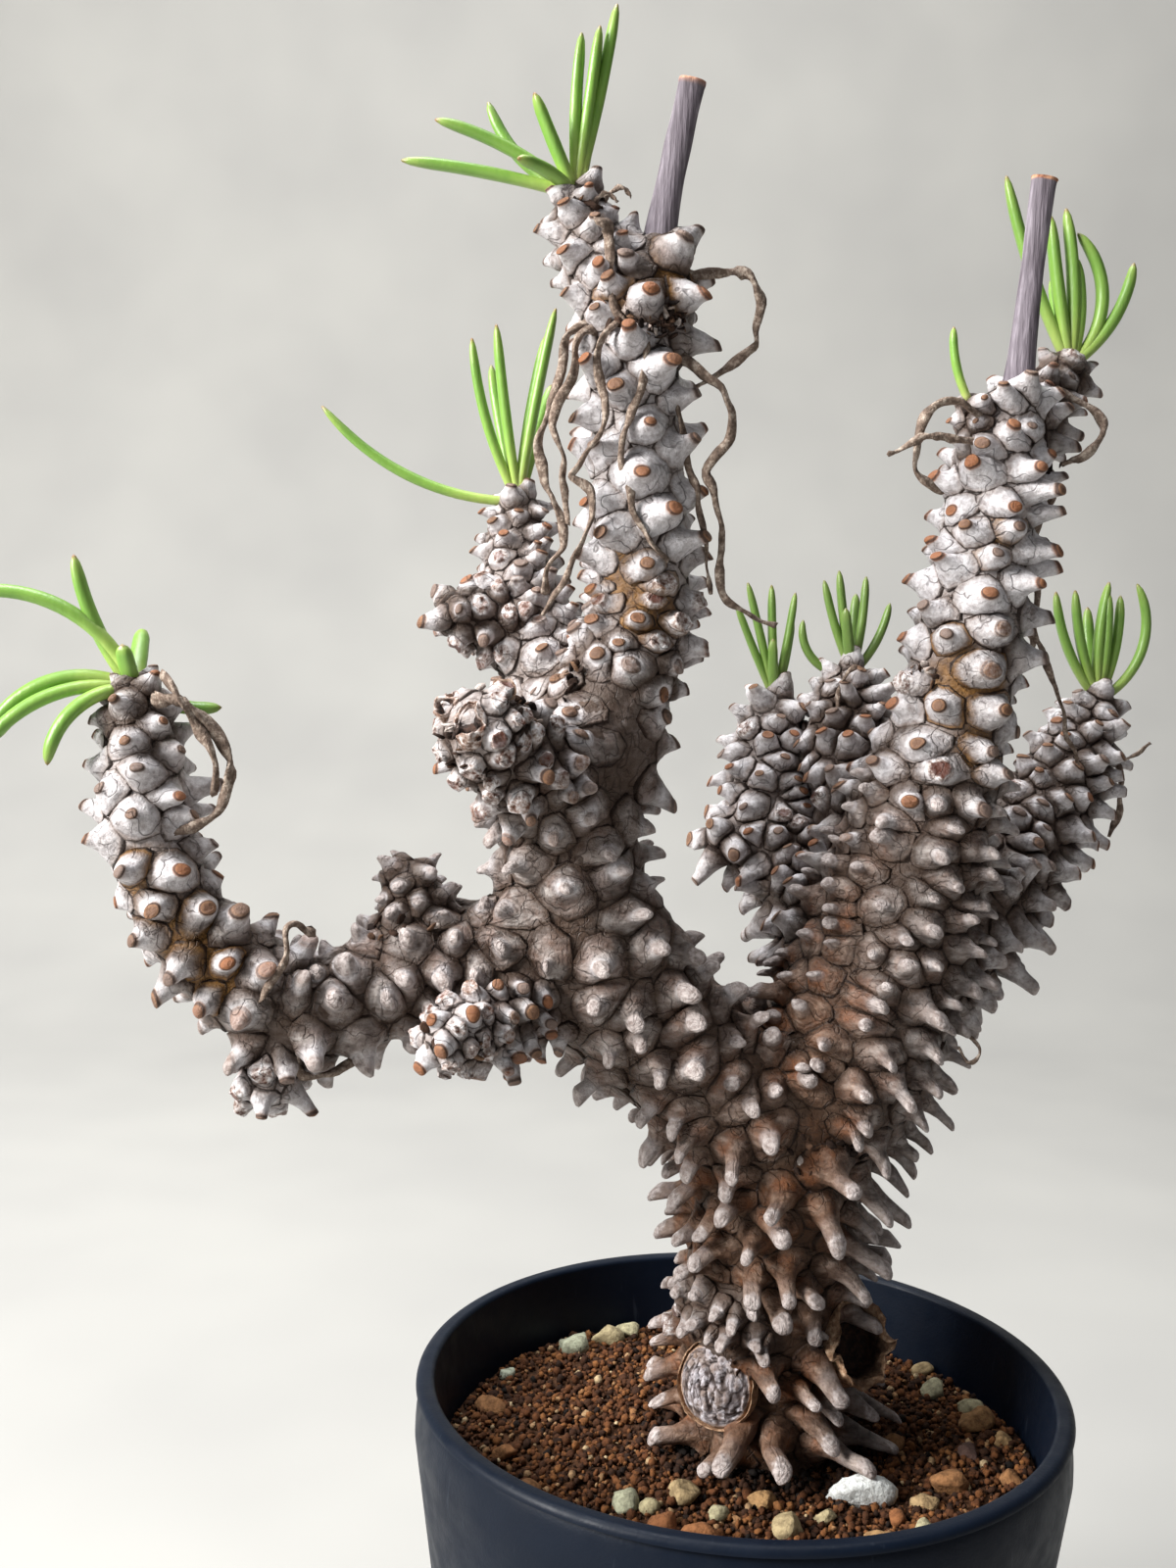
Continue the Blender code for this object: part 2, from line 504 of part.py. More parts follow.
def limb_solid(name, curves, draw, collection):
    """One limb: its lattice tube with a peg on each cell that lies outside the other limbs."""
    around, points = LIMBS[name]
    rows = limb_rows(points, around)
    shape = bmesh.new()
    cells, end_face = lattice(shape, rows, around, draw)
    if name not in [row[0] for row in [*TUFTS.values(), *STALKS.values()]]:
        tangent = rows[-1][1]
        raise_peg(shape, end_face, tangent, tangent, BARE_END_RISE, [(BARE_END_WIDTH, 1)])
    order = list(curves)
    earlier = [curves[other] for other in order[:order.index(name)]]
    later = [curves[other] for other in order[order.index(name) + 1:]]
    for face, j in cells:
        place = face.calc_center_median()
        middle, tangent, _, radius = rows[j]
        height = place.z / MM
        length = float(np.interp(height, PEG_HEIGHTS, PEG_LENGTHS)) * MM
        length *= 1 + draw.uniform(-PEG_LENGTH_SCATTER, PEG_LENGTH_SCATTER)
        outward = (place - middle).normalized()
        length = min(length * (1 - PEG_UNDERSIDE * outward.z), radius)
        droop = float(np.interp(height, PEG_HEIGHTS, PEG_DROOPS))
        droop *= 1 + draw.uniform(-PEG_DROOP_SCATTER, PEG_DROOP_SCATTER)
        if is_inside(place, earlier, -COVER_EARLIER) or is_inside(place, later, COVER_LATER):
            continue
        out = outward + Vector((0, 0, -droop))
        out.normalize()
        lowest = SOIL_TOP + PEG_SOIL_GAP + radius * PEG_TIP / 2 - place.z
        if out.z * length < lowest:
            out.z = lowest / length
        if reaches_a_seat([place.lerp(corner.co, PEG_BULK) + out * length * share for corner in face.verts
                           for share in (0.5, 1)]):
            continue
        scales = [PEG_SHOULDER, (PEG_TIP, 1)] if length > LONG_PEG else [(SHORT_PEG_TIP, 1)]
        raise_peg(shape, face, tangent, out, length, scales)
    return add_shape(name, shape, collection)


def tube(name, points, sides, collection):
    """A closed round tube through (x, y, z, radius) points in metres: a bevelled curve."""
    curve = bpy.data.curves.new(name, "CURVE")
    curve.dimensions = "3D"
    curve.bevel_depth = 1
    curve.bevel_resolution = sides // 2 - 2
    curve.use_fill_caps = True
    line = curve.splines.new("POLY")
    line.points.add(len(points) - 1)
    for point, (x, y, z, radius) in zip(line.points, points):
        point.co = (x, y, z, 1)
        point.radius = radius
    guide = bpy.data.objects.new(name + " guide", curve)
    collection.objects.link(guide)
    bpy.context.view_layer.update()
    mesh = bpy.data.meshes.new_from_object(guide.evaluated_get(bpy.context.evaluated_depsgraph_get()))
    bpy.data.objects.remove(guide)
    shape = bmesh.new()
    shape.from_mesh(mesh)
    bpy.data.meshes.remove(mesh)
    bmesh.ops.remove_doubles(shape, verts=shape.verts, dist=WELD)
    bmesh.ops.recalc_face_normals(shape, faces=shape.faces)
    return add_shape(name, shape, collection)


def post(name, middle, direction, radius, start, end, collection):
    """A short round post along a direction, from one distance to another, a little thinner there."""
    shape = bmesh.new()
    way = Vector(direction).normalized()
    turn = way.to_track_quat("Z", "Y").to_matrix().to_4x4()
    place = Matrix.Translation(Vector(middle) + way * (start + end) / 2) @ turn
    bmesh.ops.create_cone(shape, cap_ends=True, segments=POST_SIDES, radius1=radius,
                          radius2=radius * POST_TAPER, depth=end - start, matrix=place)
    return add_shape(name, shape, collection)


def build_stem(collection):
    draw = random.Random(PEG_SEED)
    curves = {name: spline(points) for name, (_, points) in LIMBS.items()}
    limbs = [limb_solid(name, curves, draw, collection) for name in LIMBS]
    threads = [tube(f"thread {index}", [(x * MM, y * MM, z * MM, thickness * MM / 2) for x, y, z in points],
                    THREAD_SIDES, collection) for index, (thickness, points) in enumerate(THREADS)]
    scar = post("scar", SCAR_MIDDLE, SCAR_DIRECTION, SCAR_RADIUS, POST_START, SCAR_REACH, collection)
    stub = post("stub", STUB_MIDDLE, STUB_DIRECTION, STUB_RADIUS, POST_START, STUB_REACH, collection)
    stump = post("stump", (STUMP_X, STUMP_Y, 0), (0, 0, 1), STUMP_RADIUS, STUMP_BOTTOM, STUMP_TOP, collection)
    stem = limbs[0]
    stem.name = "stem"
    stem.data.materials.append(material("stem skin", STEM_SKIN))
    fuse(stem, [*limbs[1:], *threads, scar, stub, stump])
    hollow = post("stub hollow", STUB_MIDDLE, STUB_DIRECTION, STUB_HOLLOW_RADIUS,
                  STUB_REACH - STUB_HOLLOW_DEPTH, STUB_REACH + STUB_HOLLOW_DEPTH, collection)
    cut(stem, hollow, "Stub hollow")
    settle(stem)
    keep_largest_surface(stem)
    bpy.data.objects.remove(hollow)
    return stem


def limb_end(name):
    """The last point of a limb, the way it points there, and its radius."""
    curve = spline(LIMBS[name][1])
    before, end = Vector(curve[-4, :3]), Vector(curve[-1, :3])
    return end, (end - before).normalized(), float(curve[-1, 3])


def leaf_points(root, leaf, scale):
    """A leaf's middle line: its lean from the upright turns evenly from the root to the tip."""
    compass, root_lean, tip_lean, length = leaf
    heading = math.radians(compass)
    level = Vector((math.cos(heading), math.sin(heading), 0))
    point = Vector(root)
    points = []
    before = 0
    for share, width in zip(LEAF_STATIONS, LEAF_PROFILE):
        lean = math.radians(root_lean + (tip_lean - root_lean) * (share + before) / 2)
        way = level * math.sin(lean) + Vector((0, 0, math.cos(lean)))
        point = point + way * length * MM * (share - before)
        points.append((*point, LEAF_RADIUS * scale * width))
        before = share
    return points


def build_tuft(name, finish, collection):
    limb, scale, leaves = TUFTS[name]
    end, way, radius = limb_end(limb)
    core_height = CORE_HEIGHT * min(1, radius / CORE_FULL_RADIUS)
    low = end + way * SEAT
    core = tube(name, [(*(low + way * core_height * share), radius * width) for share, width in CORE_PROFILE],
                CORE_SIDES, collection)
    core.data.materials.append(finish)
    root = low + way * core_height * LEAF_ROOT
    fuse(core, [tube(f"{name} {index}", leaf_points(root, leaf, scale), LEAF_SIDES, collection)
                for index, leaf in enumerate(leaves)])
    return core


def build_stalk(name, finish, collection):
    limb, points = STALKS[name]
    end, way, radius = limb_end(limb)
    low = end + way * SEAT
    rest = [tuple(value * MM for value in point) for point in points]
    foot = min(radius * STALK_FOOT_SHARE, rest[0][3] * STALK_FOOT)
    neck = low + way * STALK_FOOT_HEIGHT
    stalk = tube(name, [(*low, foot), (*neck, rest[0][3]), *rest], STALK_SIDES, collection)
    stalk.data.materials.append(finish)
    return stalk


def main():
    clear_scene()
    parts = new_collection("potted tylecodon")
    cutters = new_collection("cutters")
    pieces = [build_pot(parts, cutters), build_soil(parts, cutters), build_stem(parts)]
    leaf_skin = material("leaf skin", LEAF_SKIN)
    pieces += [build_tuft(name, leaf_skin, parts) for name in TUFTS]
    stalk_bark = material("dry stalk", DRY_STALK)
    pieces += [build_stalk(name, stalk_bark, parts) for name in STALKS]
    for piece in pieces:
        piece.data.shade_smooth()
        piece.data.set_sharp_from_angle(angle=math.radians(SHARP_ANGLE))


main()
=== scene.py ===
import itertools
import math

import bpy
import numpy as np
from mathutils import Matrix


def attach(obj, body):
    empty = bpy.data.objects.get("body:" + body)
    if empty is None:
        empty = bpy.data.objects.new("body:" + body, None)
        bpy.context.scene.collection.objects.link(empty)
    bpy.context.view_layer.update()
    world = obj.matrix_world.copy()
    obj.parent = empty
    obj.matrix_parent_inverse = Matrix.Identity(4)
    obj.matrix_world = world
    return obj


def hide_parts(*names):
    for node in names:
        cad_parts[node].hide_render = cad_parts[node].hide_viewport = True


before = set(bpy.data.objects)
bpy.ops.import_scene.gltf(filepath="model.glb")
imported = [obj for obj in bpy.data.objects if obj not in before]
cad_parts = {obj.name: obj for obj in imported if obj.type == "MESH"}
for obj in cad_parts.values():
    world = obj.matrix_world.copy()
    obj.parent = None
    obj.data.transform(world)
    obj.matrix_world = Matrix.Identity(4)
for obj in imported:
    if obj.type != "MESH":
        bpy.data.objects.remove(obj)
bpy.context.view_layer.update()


# Pot: one turned piece of matt navy-black plastic, moulded with a thick rounded lip, four drain holes
# and a shallow notch beside each. Handling has left faint upright scuffs on its outside.
mm = 0.001
pot_height = 95 * mm
lip_radius = 52.5 * mm
lip_width = 3.0 * mm
lip_inner_round = 0.8 * mm
lip_outer_round = 1.3 * mm
flare_height = 9.0 * mm
flare = 1.4 * mm
foot_radius = 41 * mm
foot_round = 1.2 * mm
floor_top = 5 * mm
floor_radius = 38.4 * mm
floor_chamfer = 2.5 * mm
drain_ring = 24 * mm
drain_radius = 4.5 * mm
notch_width = 5 * mm
notch_height = 1.5 * mm
drain_sides = 40
pot_steps = 180
sharp_edge = math.radians(40)


def tint(red, green, blue):
    """A colour given as a screen shows it, from 0 to 255, turned into linear light with full alpha."""
    shown = np.array([red, green, blue]) / 255
    light = np.where(shown <= 0.04045, shown / 12.92, ((shown + 0.055) / 1.055) ** 2.4)
    return (*light.tolist(), 1.0)


def add(part, kind, feeds=(), **settings):
    """A node for the material that a node or socket belongs to; each input takes a value or an output."""
    tree = part.id_data
    made = tree.nodes.new("ShaderNode" + kind)
    for key, value in settings.items():
        setattr(made, key, value)
    for key, value in dict(feeds).items():
        if isinstance(value, bpy.types.NodeSocket):
            tree.links.new(value, made.inputs[key])
        else:
            made.inputs[key].default_value = value
    return made.outputs


def speckle(part, size, detail=3.0, rough=0.55, stretch=(1, 1, 1)):
    """Noise from 0 to 1 on the object's own coordinates; size is the width of a fleck in metres."""
    place = add(part, "TexCoord")["Object"]
    place = add(part, "Mapping", {"Vector": place, "Scale": stretch})["Vector"]
    feeds = {"Vector": place, "Scale": 1 / size, "Detail": detail, "Roughness": rough}
    return add(part, "TexNoise", feeds)["Fac"]


def between(value, low, high, to_low=0.0, to_high=1.0):
    """The value moved smoothly from the range low to high to another range, and held at its ends."""
    feeds = {"Value": value, "From Min": low, "From Max": high, "To Min": to_low, "To Max": to_high}
    return add(value, "MapRange", feeds, interpolation_type="SMOOTHSTEP")["Result"]


def blend(share, first, second, way="MIX"):
    """Two colours mixed by a share of the second; each is an output, or its red, green and blue."""
    first, second = (tint(*shade) if isinstance(shade, tuple) else shade for shade in (first, second))
    return add(share, "Mix", {0: share, 6: first, 7: second}, data_type="RGBA", blend_type=way)[2]


def finish_of(name, roughness, specular):
    """A new material and its shader."""
    made = bpy.data.materials.new(name)
    made.use_nodes = True
    shader = made.node_tree.nodes["Principled BSDF"]
    shader.inputs["Roughness"].default_value = roughness
    shader.inputs["Specular IOR Level"].default_value = specular
    return made, shader


def feed(shader, name, value):
    """Leads a value into one of the shader's inputs."""
    shader.id_data.links.new(value, shader.inputs[name])


def relief(shader, height, depth):
    """Feeds a height from 0 to 1 into the shader's normal, as relief this many metres deep."""
    bump = add(shader, "Bump", {"Height": height, "Distance": depth, "Strength": 1.0})
    feed(shader, "Normal", bump["Normal"])


def mark_points(mesh, marks):
    """Gives the points of a mesh their values for each mark: one for all of them, or one for each."""
    for mark, values in marks.items():
        layer = mesh.attributes.new(mark, "FLOAT", "POINT")
        layer.data.foreach_set("value", np.full(len(mesh.vertices), np.ravel(values), np.float32))


def put(name, points, faces, finish, slot, node, marks=()):
    """A smooth-shaded piece from arrays of points and faces, with values on its points for each mark."""
    mesh = bpy.data.meshes.new(name)
    mesh.vertices.add(len(points))
    mesh.vertices.foreach_set("co", np.asarray(points, np.float32).ravel())
    corners = np.concatenate([face.ravel() for face in faces])
    sizes = np.concatenate([np.full(len(face), face.shape[1]) for face in faces])
    mesh.loops.add(len(corners))
    mesh.loops.foreach_set("vertex_index", corners.astype(np.int32))
    mesh.polygons.add(len(sizes))
    mesh.polygons.foreach_set("loop_start", (np.cumsum(sizes) - sizes).astype(np.int32))
    mesh.update(calc_edges=True)
    mark_points(mesh, dict(marks))
    mesh.shade_smooth()
    mesh.materials.append(finish)
    piece = bpy.data.objects.new(name, mesh)
    bpy.context.scene.collection.objects.link(piece)
    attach(piece, "root")
    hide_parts(node)
    return piece


def lofted(rings, first, last):
    """Closed bodies: the rings of each are joined by quads, and a fan closes it to a point at each end.

    rings is (bodies, rings, around, 3); first and last are (bodies, 3). Seen from the last ring's side,
    the points of a ring run anticlockwise.
    """
    bodies, count, around = rings.shape[:3]
    points = np.concatenate([first[:, None], rings.reshape(bodies, -1, 3), last[:, None]], axis=1)
    turn = np.arange(around)
    follow = (turn + 1) % around
    row = 1 + np.arange(count - 1)[:, None] * around
    quads = np.stack([row + turn, row + follow, row + around + follow, row + around + turn], axis=-1)
    top = points.shape[1] - 1
    start = 1 + (count - 1) * around
    low = np.stack([np.zeros_like(turn), follow + 1, turn + 1], axis=-1)
    high = np.stack([np.full_like(turn, top), start + turn, start + follow], axis=-1)
    shift = np.arange(bodies)[:, None, None] * (top + 1)
    quads = (quads.reshape(1, -1, 4) + shift).reshape(-1, 4)
    fans = (np.concatenate([low, high])[None] + shift).reshape(-1, 3)
    return points.reshape(-1, 3), [quads, fans]


def directions(count):
    """Angles spread evenly round a circle."""
    return np.linspace(0, math.tau, count, endpoint=False)


def turned(profile, around):
    """A profile of (radius, height) pairs carried round the upright axis, closed on the axis at both ends."""
    profile = np.asarray(profile)
    angle = directions(around)
    ring = np.stack([np.cos(angle), np.sin(angle)], axis=-1)
    inner = profile[1:-1]
    flat = inner[:, None, :1] * ring[None]
    height = np.broadcast_to(inner[:, None, 1:], (len(inner), around, 1))
    ends = [np.array([[0, 0, profile[end, 1]]]) for end in (0, -1)]
    return lofted(np.concatenate([flat, height], axis=-1)[None], *ends)


def arc(middle, radius, start, end, count=9):
    """Points on an arc about a (radius, height) middle, from one angle in degrees to another."""
    angle = np.radians(np.linspace(start, end, count))
    return np.stack([middle[0] + radius * np.cos(angle), middle[1] + radius * np.sin(angle)], axis=-1)


def inner_radius(height):
    """Radius of the pot's inner wall, a cone from the floor to the lip."""
    share = (height - floor_top) / (pot_height - floor_top)
    return floor_radius + share * (lip_radius - lip_width - floor_radius)


def carve(piece, cutter):
    """Cuts one mesh out of a piece for good and removes the cutter."""
    cut = piece.modifiers.new("Cut", "BOOLEAN")
    cut.operation = "DIFFERENCE"
    cut.object = cutter
    bpy.context.view_layer.update()
    result = bpy.data.meshes.new_from_object(piece.evaluated_get(bpy.context.evaluated_depsgraph_get()))
    piece.modifiers.clear()
    piece.data = result
    bpy.data.objects.remove(cutter)


pot_plastic, shader = finish_of("matt navy plastic", 0.45, 0.16)
cloudy = speckle(shader, 9 * mm, 4)
streaks = speckle(shader, 1.1 * mm, 2, 0.5, (1, 1, 0.06))
scuffs = between(streaks, 0.66, 0.8, 0.0, 0.10)
dark = blend(cloudy, (7, 14, 26), (11, 21, 35))
feed(shader, "Base Color", blend(scuffs, dark, (96, 104, 116)))
feed(shader, "Roughness", between(speckle(shader, 4 * mm, 5), 0.3, 0.7, 0.4, 0.54))
relief(shader, speckle(shader, 0.5 * mm, 2), 0.03 * mm)

sweep = np.radians(np.linspace(90, 0, 8))[1:]
flare_top = pot_height - lip_outer_round
flare_line = np.stack([lip_radius - flare * (1 - np.cos(sweep)),
                       flare_top - (flare_height - lip_outer_round) * (1 - np.sin(sweep))], axis=-1)
pot_profile = np.concatenate([
    [[0, 0]],
    arc((foot_radius - foot_round, foot_round), foot_round, -90, 0),
    flare_line[::-1],
    arc((lip_radius - lip_outer_round, flare_top), lip_outer_round, 0, 90),
    arc((lip_radius - lip_width + lip_inner_round, pot_height - lip_inner_round), lip_inner_round, 90, 180),
    [[inner_radius(floor_top + floor_chamfer), floor_top + floor_chamfer],
     [floor_radius - floor_chamfer, floor_top], [0, floor_top]],
])
pot = put("round_pot", *turned(pot_profile, pot_steps), pot_plastic, "pot", "pot")
notch_middle = drain_ring + foot_radius / 2
for quarter in range(4):
    angle = (quarter + 0.5) * math.tau / 4
    way = (math.cos(angle), math.sin(angle))
    bpy.ops.mesh.primitive_cylinder_add(
        vertices=drain_sides, radius=drain_radius, depth=floor_top * 3,
        location=(drain_ring * way[0], drain_ring * way[1], 0))
    carve(pot, bpy.context.object)
    bpy.ops.mesh.primitive_cube_add(
        size=1, location=(notch_middle * way[0], notch_middle * way[1], 0), rotation=(0, 0, angle),
        scale=(foot_radius, notch_width, notch_height * 2))
    carve(pot, bpy.context.object)
pot.data.set_sharp_from_angle(angle=sharp_edge)


# Soil: clay granules in browns, packed to about 12 mm below the lip, with pale and dark grit and a few
# larger loose stones on top. The fill is one body, and the grains and stones lie half sunk in its surface.
soil_top = 83 * mm
soil_dish = 0.6 * mm
soil_gap = 0.3 * mm
soil_steps = 150
bed_rings = 70
trunk_place = np.array([4 * mm, 2 * mm])
trunk_clear = 11.5 * mm
grain_count = 7600
grain_size = (0.7 * mm, 1.9 * mm)
# The fill's own surface lies a little lower; grains lie higher or lower by these shares of their half-size,
# and are stretched by these
fill_drop = 0.3 * mm
grain_lift = (-0.3, 0.65)
grain_stretch = (0.65, 1.3)
# Darker soil round the trunk: out to here, and fading over this, in millimetres
dark_reach = 13
dark_fade = 9
# A stone's half-height and its lift over the fill, by its width, and how much its broken ball is swelled
stone_rise = 0.42
stone_lift = 0.16
stone_swell = 1.12
# Stones in millimetres: x, y, length, width, turn in degrees, shade from 0 (dark) to 1 (white)
stones = np.array([
    (17.8, -16, 10.4, 6.2, 8, 1), (-27, 34, 7, 5.5, 30, 0.82), (-21, 38, 6, 5, 0, 0.7),
    (-41, 9, 6, 4, -40, 0.5), (-19, -21, 5, 4.2, 80, 0.8), (-15, -22, 3.4, 3, 10, 0.72),
    (-8, -30, 6, 5, 20, 0.45), (5, -27, 5, 4.5, 60, 0.68), (18, -29, 5, 4, -20, 0.6),
    (25, -27, 4, 3.4, 40, 0.74), (32, -12, 6, 4.5, 10, 0.5), (25, 0, 4.6, 3.4, 30, 0.52),
    (36, 19, 5, 4, 70, 0.76), (41, 13, 4.6, 3.8, 0, 0.74), (41, 8, 7, 5, 50, 0.55),
    (37, -3, 5.5, 3.2, 85, 0.1), (36, 28, 4, 3.2, 20, 0.66), (29, 36, 4.2, 3.6, 50, 0.7),
    (-17, 41, 5, 4.4, 0, 0.74), (-34, -18, 5, 4, 45, 0.5), (21, 36, 6, 4, -35, 0.66),
    (1, 41, 5, 4, 15, 0.6), (-38, -6, 4, 3, 0, 0.48), (29, -29, 5, 3, 75, 0.58),
    (42, -10, 4.5, 3.6, 0, 0.5), (36, -22, 4.2, 3.4, 30, 0.46), (-39, 22, 3.6, 2.8, 60, 0.85),
    (44, 2, 4, 3.2, 80, 0.62), (-10, -19, 5.2, 4.2, 20, 0.66), (-5, -23, 4, 3.2, 60, 0.74),
    (2, -20, 4.4, 3.4, 0, 0.6), (11, -23, 3.8, 3, 10, 0.7), (-13, -27, 5.4, 4.2, 30, 0.42),
    (27, -17, 4.4, 3.6, -30, 0.64), (22, -22, 3.4, 2.8, 50, 0.44),
])


def cloud(points, size, seed):
    """Smooth random heights from -1 to 1: random values on a cubic lattice, blended across each cube."""
    cubes = 32
    lattice = np.random.default_rng(seed).uniform(-1, 1, (cubes, cubes, cubes))
    place = np.asarray(points) / size
    low = np.floor(place).astype(int)
    share = place - low
    share = share * share * (3 - 2 * share)
    total = np.zeros(place.shape[:-1])
    for corner in itertools.product((0, 1), repeat=3):
        near = (low + corner) % cubes
        weight = np.prod(np.where(np.array(corner) == 1, share, 1 - share), axis=-1)
        total += weight * lattice[near[..., 0], near[..., 1], near[..., 2]]
    return total


def soil_height(x, y):
    """Level of the fill: a shallow dish, with gentle lumps."""
    out = np.hypot(x, y) / (lip_radius - lip_width)
    place = np.stack([x, y, np.zeros_like(x)], axis=-1)
    dish = soil_top - soil_dish * out ** 2
    return dish + 0.8 * mm * cloud(place, 9 * mm, 3) + 0.3 * mm * cloud(place, 2.6 * mm, 4)


def unit(vectors, least=0.0):
    """The vectors, each divided by its own length, to which the least is added."""
    return vectors / (np.linalg.norm(vectors, axis=-1, keepdims=True) + least)


def turns(count, draw):
    """Random rotations, as matrices from unit quaternions."""
    quaternion = draw.normal(size=(4, count))
    w, x, y, z = quaternion / np.linalg.norm(quaternion, axis=0)
    rows = [[1 - 2 * (y * y + z * z), 2 * (x * y - z * w), 2 * (x * z + y * w)],
            [2 * (x * y + z * w), 1 - 2 * (x * x + z * z), 2 * (y * z - x * w)],
            [2 * (x * z - y * w), 2 * (y * z + x * w), 1 - 2 * (x * x + y * y)]]
    return np.moveaxis(np.array(rows), -1, 0)


def pebbles(sizes, places, turn, rings, around, cuts, draw):
    """Broken grains: balls whose points beyond a few random planes are pressed back onto them, then
    scaled to each grain's three half-sizes, turned and placed."""
    polar = np.pi * np.arange(1, rings + 1) / (rings + 1)
    angle = math.tau * (np.arange(around)[None] + 0.5 * (np.arange(rings) % 2)[:, None]) / around
    ring = np.stack([np.sin(polar)[:, None] * np.cos(angle), np.sin(polar)[:, None] * np.sin(angle),
                     np.broadcast_to(-np.cos(polar)[:, None], angle.shape)], axis=-1).reshape(-1, 3)
    ball = np.concatenate([[[0, 0, -1]], ring, [[0, 0, 1]]])
    ball = np.broadcast_to(ball, (len(sizes), *ball.shape)).copy()
    for _ in range(cuts):
        way = unit(draw.normal(size=(len(sizes), 1, 3)))
        over = (ball * way).sum(-1, keepdims=True) - draw.uniform(0.55, 0.85, (len(sizes), 1, 1))
        ball -= np.clip(over, 0, None) * way
    ball = np.einsum("nij,npj->npi", turn, ball * sizes[:, None, :]) + places[:, None, :]
    rings_only = ball[:, 1:-1].reshape(len(sizes), rings, around, 3)
    return lofted(rings_only, ball[:, 0], ball[:, -1]), ball.shape[1]


def scale_of(value, *stops):
    """A colour read from the value on a scale of stops, each a position and its red, green and blue."""
    made = value.id_data.nodes.new("ShaderNodeValToRGB")
    ramp = made.color_ramp
    while len(ramp.elements) < len(stops):
        ramp.elements.new(0.5)
    for element, (position, *shade) in zip(ramp.elements, stops):
        element.position = position
        element.color = tint(*shade)
    value.id_data.links.new(value, made.inputs["Fac"])
    return made.outputs["Color"]


def mark_of(part, name):
    """The value that the points of a mesh hold for a mark."""
    return add(part, "Attribute", attribute_name=name)["Fac"]


def stone_finish(name, pit, *stops):
    """Dry, porous stone: its shade follows the grain's own mark, with flecks and pits."""
    made, shader = finish_of(name, 0.9, 0.25)
    fleck = speckle(shader, pit, 4, 0.7)
    body = scale_of(mark_of(shader, "shade"), *stops)
    worn = blend(between(fleck, 0.35, 0.7, 0.0, 0.55), body, (74, 50, 34), "MULTIPLY")
    feed(shader, "Base Color", worn)
    relief(shader, fleck, pit * 0.35)
    return made


draw = np.random.default_rng(11)
fill_finish, shader = finish_of("fine damp clay", 0.95, 0.2)
earth = scale_of(speckle(shader, 2.5 * mm, 6, 0.7), (0.3, 34, 23, 17), (0.62, 84, 55, 35))
feed(shader, "Base Color", earth)
relief(shader, speckle(shader, 0.9 * mm, 5, 0.7), 0.5 * mm)
bed_low = floor_top + soil_gap
bed_edge = inner_radius(soil_top - soil_dish) - soil_gap
bed_profile = np.concatenate([
    [[0, bed_low], [floor_radius - floor_chamfer - soil_gap, bed_low],
     [inner_radius(bed_low + floor_chamfer) - soil_gap, bed_low + floor_chamfer]],
    np.stack([bed_edge * np.linspace(1, 0, bed_rings), np.full(bed_rings, soil_top)], axis=-1)])
bed_points, bed_faces = turned(bed_profile, soil_steps)
on_top = bed_points[:, 2] > soil_top - soil_gap
bed_points[on_top, 2] = soil_height(bed_points[on_top, 0], bed_points[on_top, 1]) - fill_drop
put("soil_fill", bed_points, bed_faces, fill_finish, "soil", "soil")

golden_angle = math.pi * (3 - math.sqrt(5))
index = np.arange(grain_count)
spread = np.sqrt((index + 0.5) / grain_count)
turn_round = index * golden_angle
half = 0.5 * (grain_size[0] + (grain_size[1] - grain_size[0]) * draw.power(0.55, grain_count))
reach = bed_edge - half * 1.15
flat = np.stack([np.cos(turn_round), np.sin(turn_round)], axis=-1) * (spread * reach)[:, None]
flat += draw.normal(0, 0.35 * mm, flat.shape)
flat *= np.minimum(1, reach / np.hypot(*flat.T))[:, None]
clear = np.hypot(*(flat - trunk_place).T) > trunk_clear
flat, half = flat[clear], half[clear]
lift = draw.uniform(*grain_lift, len(half)) * half
grain_places = np.column_stack([flat, soil_height(*flat.T) + lift])
grain_sizes = half[:, None] * draw.uniform(*grain_stretch, (len(half), 3))
(points, faces), each = pebbles(grain_sizes, grain_places, turns(len(half), draw), 2, 6, 4, draw)
near_trunk = np.clip(1 - (np.hypot(*(flat - trunk_place).T) / mm - dark_reach) / dark_fade, 0, 1)
shade = draw.normal(0.44, 0.18, len(half)) + 0.3 * (draw.random(len(half)) > 0.96) - 0.42 * near_trunk
granules = stone_finish("clay granules", 0.7 * mm, (0, 20, 14, 11), (0.3, 60, 35, 19), (0.5, 97, 58, 31),
                        (0.72, 132, 86, 47), (1, 190, 170, 134))
put("clay_granules", points, faces, granules, "soil", "soil",
    {"shade": np.repeat(np.clip(shade, 0, 1), each)})

x, y, length, width, heading, shade = stones.T
heading = np.radians(heading)
flat_turn = np.zeros((len(stones), 3, 3))
flat_turn[:, 0, 0] = flat_turn[:, 1, 1] = np.cos(heading)
flat_turn[:, 1, 0] = np.sin(heading)
flat_turn[:, 0, 1] = -np.sin(heading)
flat_turn[:, 2, 2] = 1
stone_sizes = np.stack([length / 2, width / 2, width * stone_rise], axis=-1) * mm * stone_swell
stone_places = np.column_stack([x * mm, y * mm, soil_height(x * mm, y * mm) + width * stone_lift * mm])
(points, faces), each = pebbles(stone_sizes, stone_places, flat_turn, 9, 16, 9, draw)
points += 0.22 * mm * cloud(points, 1.6 * mm, 8)[:, None] * np.array([0.6, 0.6, 1])
pumice = stone_finish("loose stones", 1.2 * mm, (0, 58, 54, 58), (0.44, 136, 88, 54), (0.6, 158, 124, 84),
                      (0.72, 168, 158, 124), (0.84, 168, 174, 152), (1, 228, 232, 230))
put("loose_stones", points, faces, pumice, "soil", "soil", {"shade": np.repeat(shade, each)})


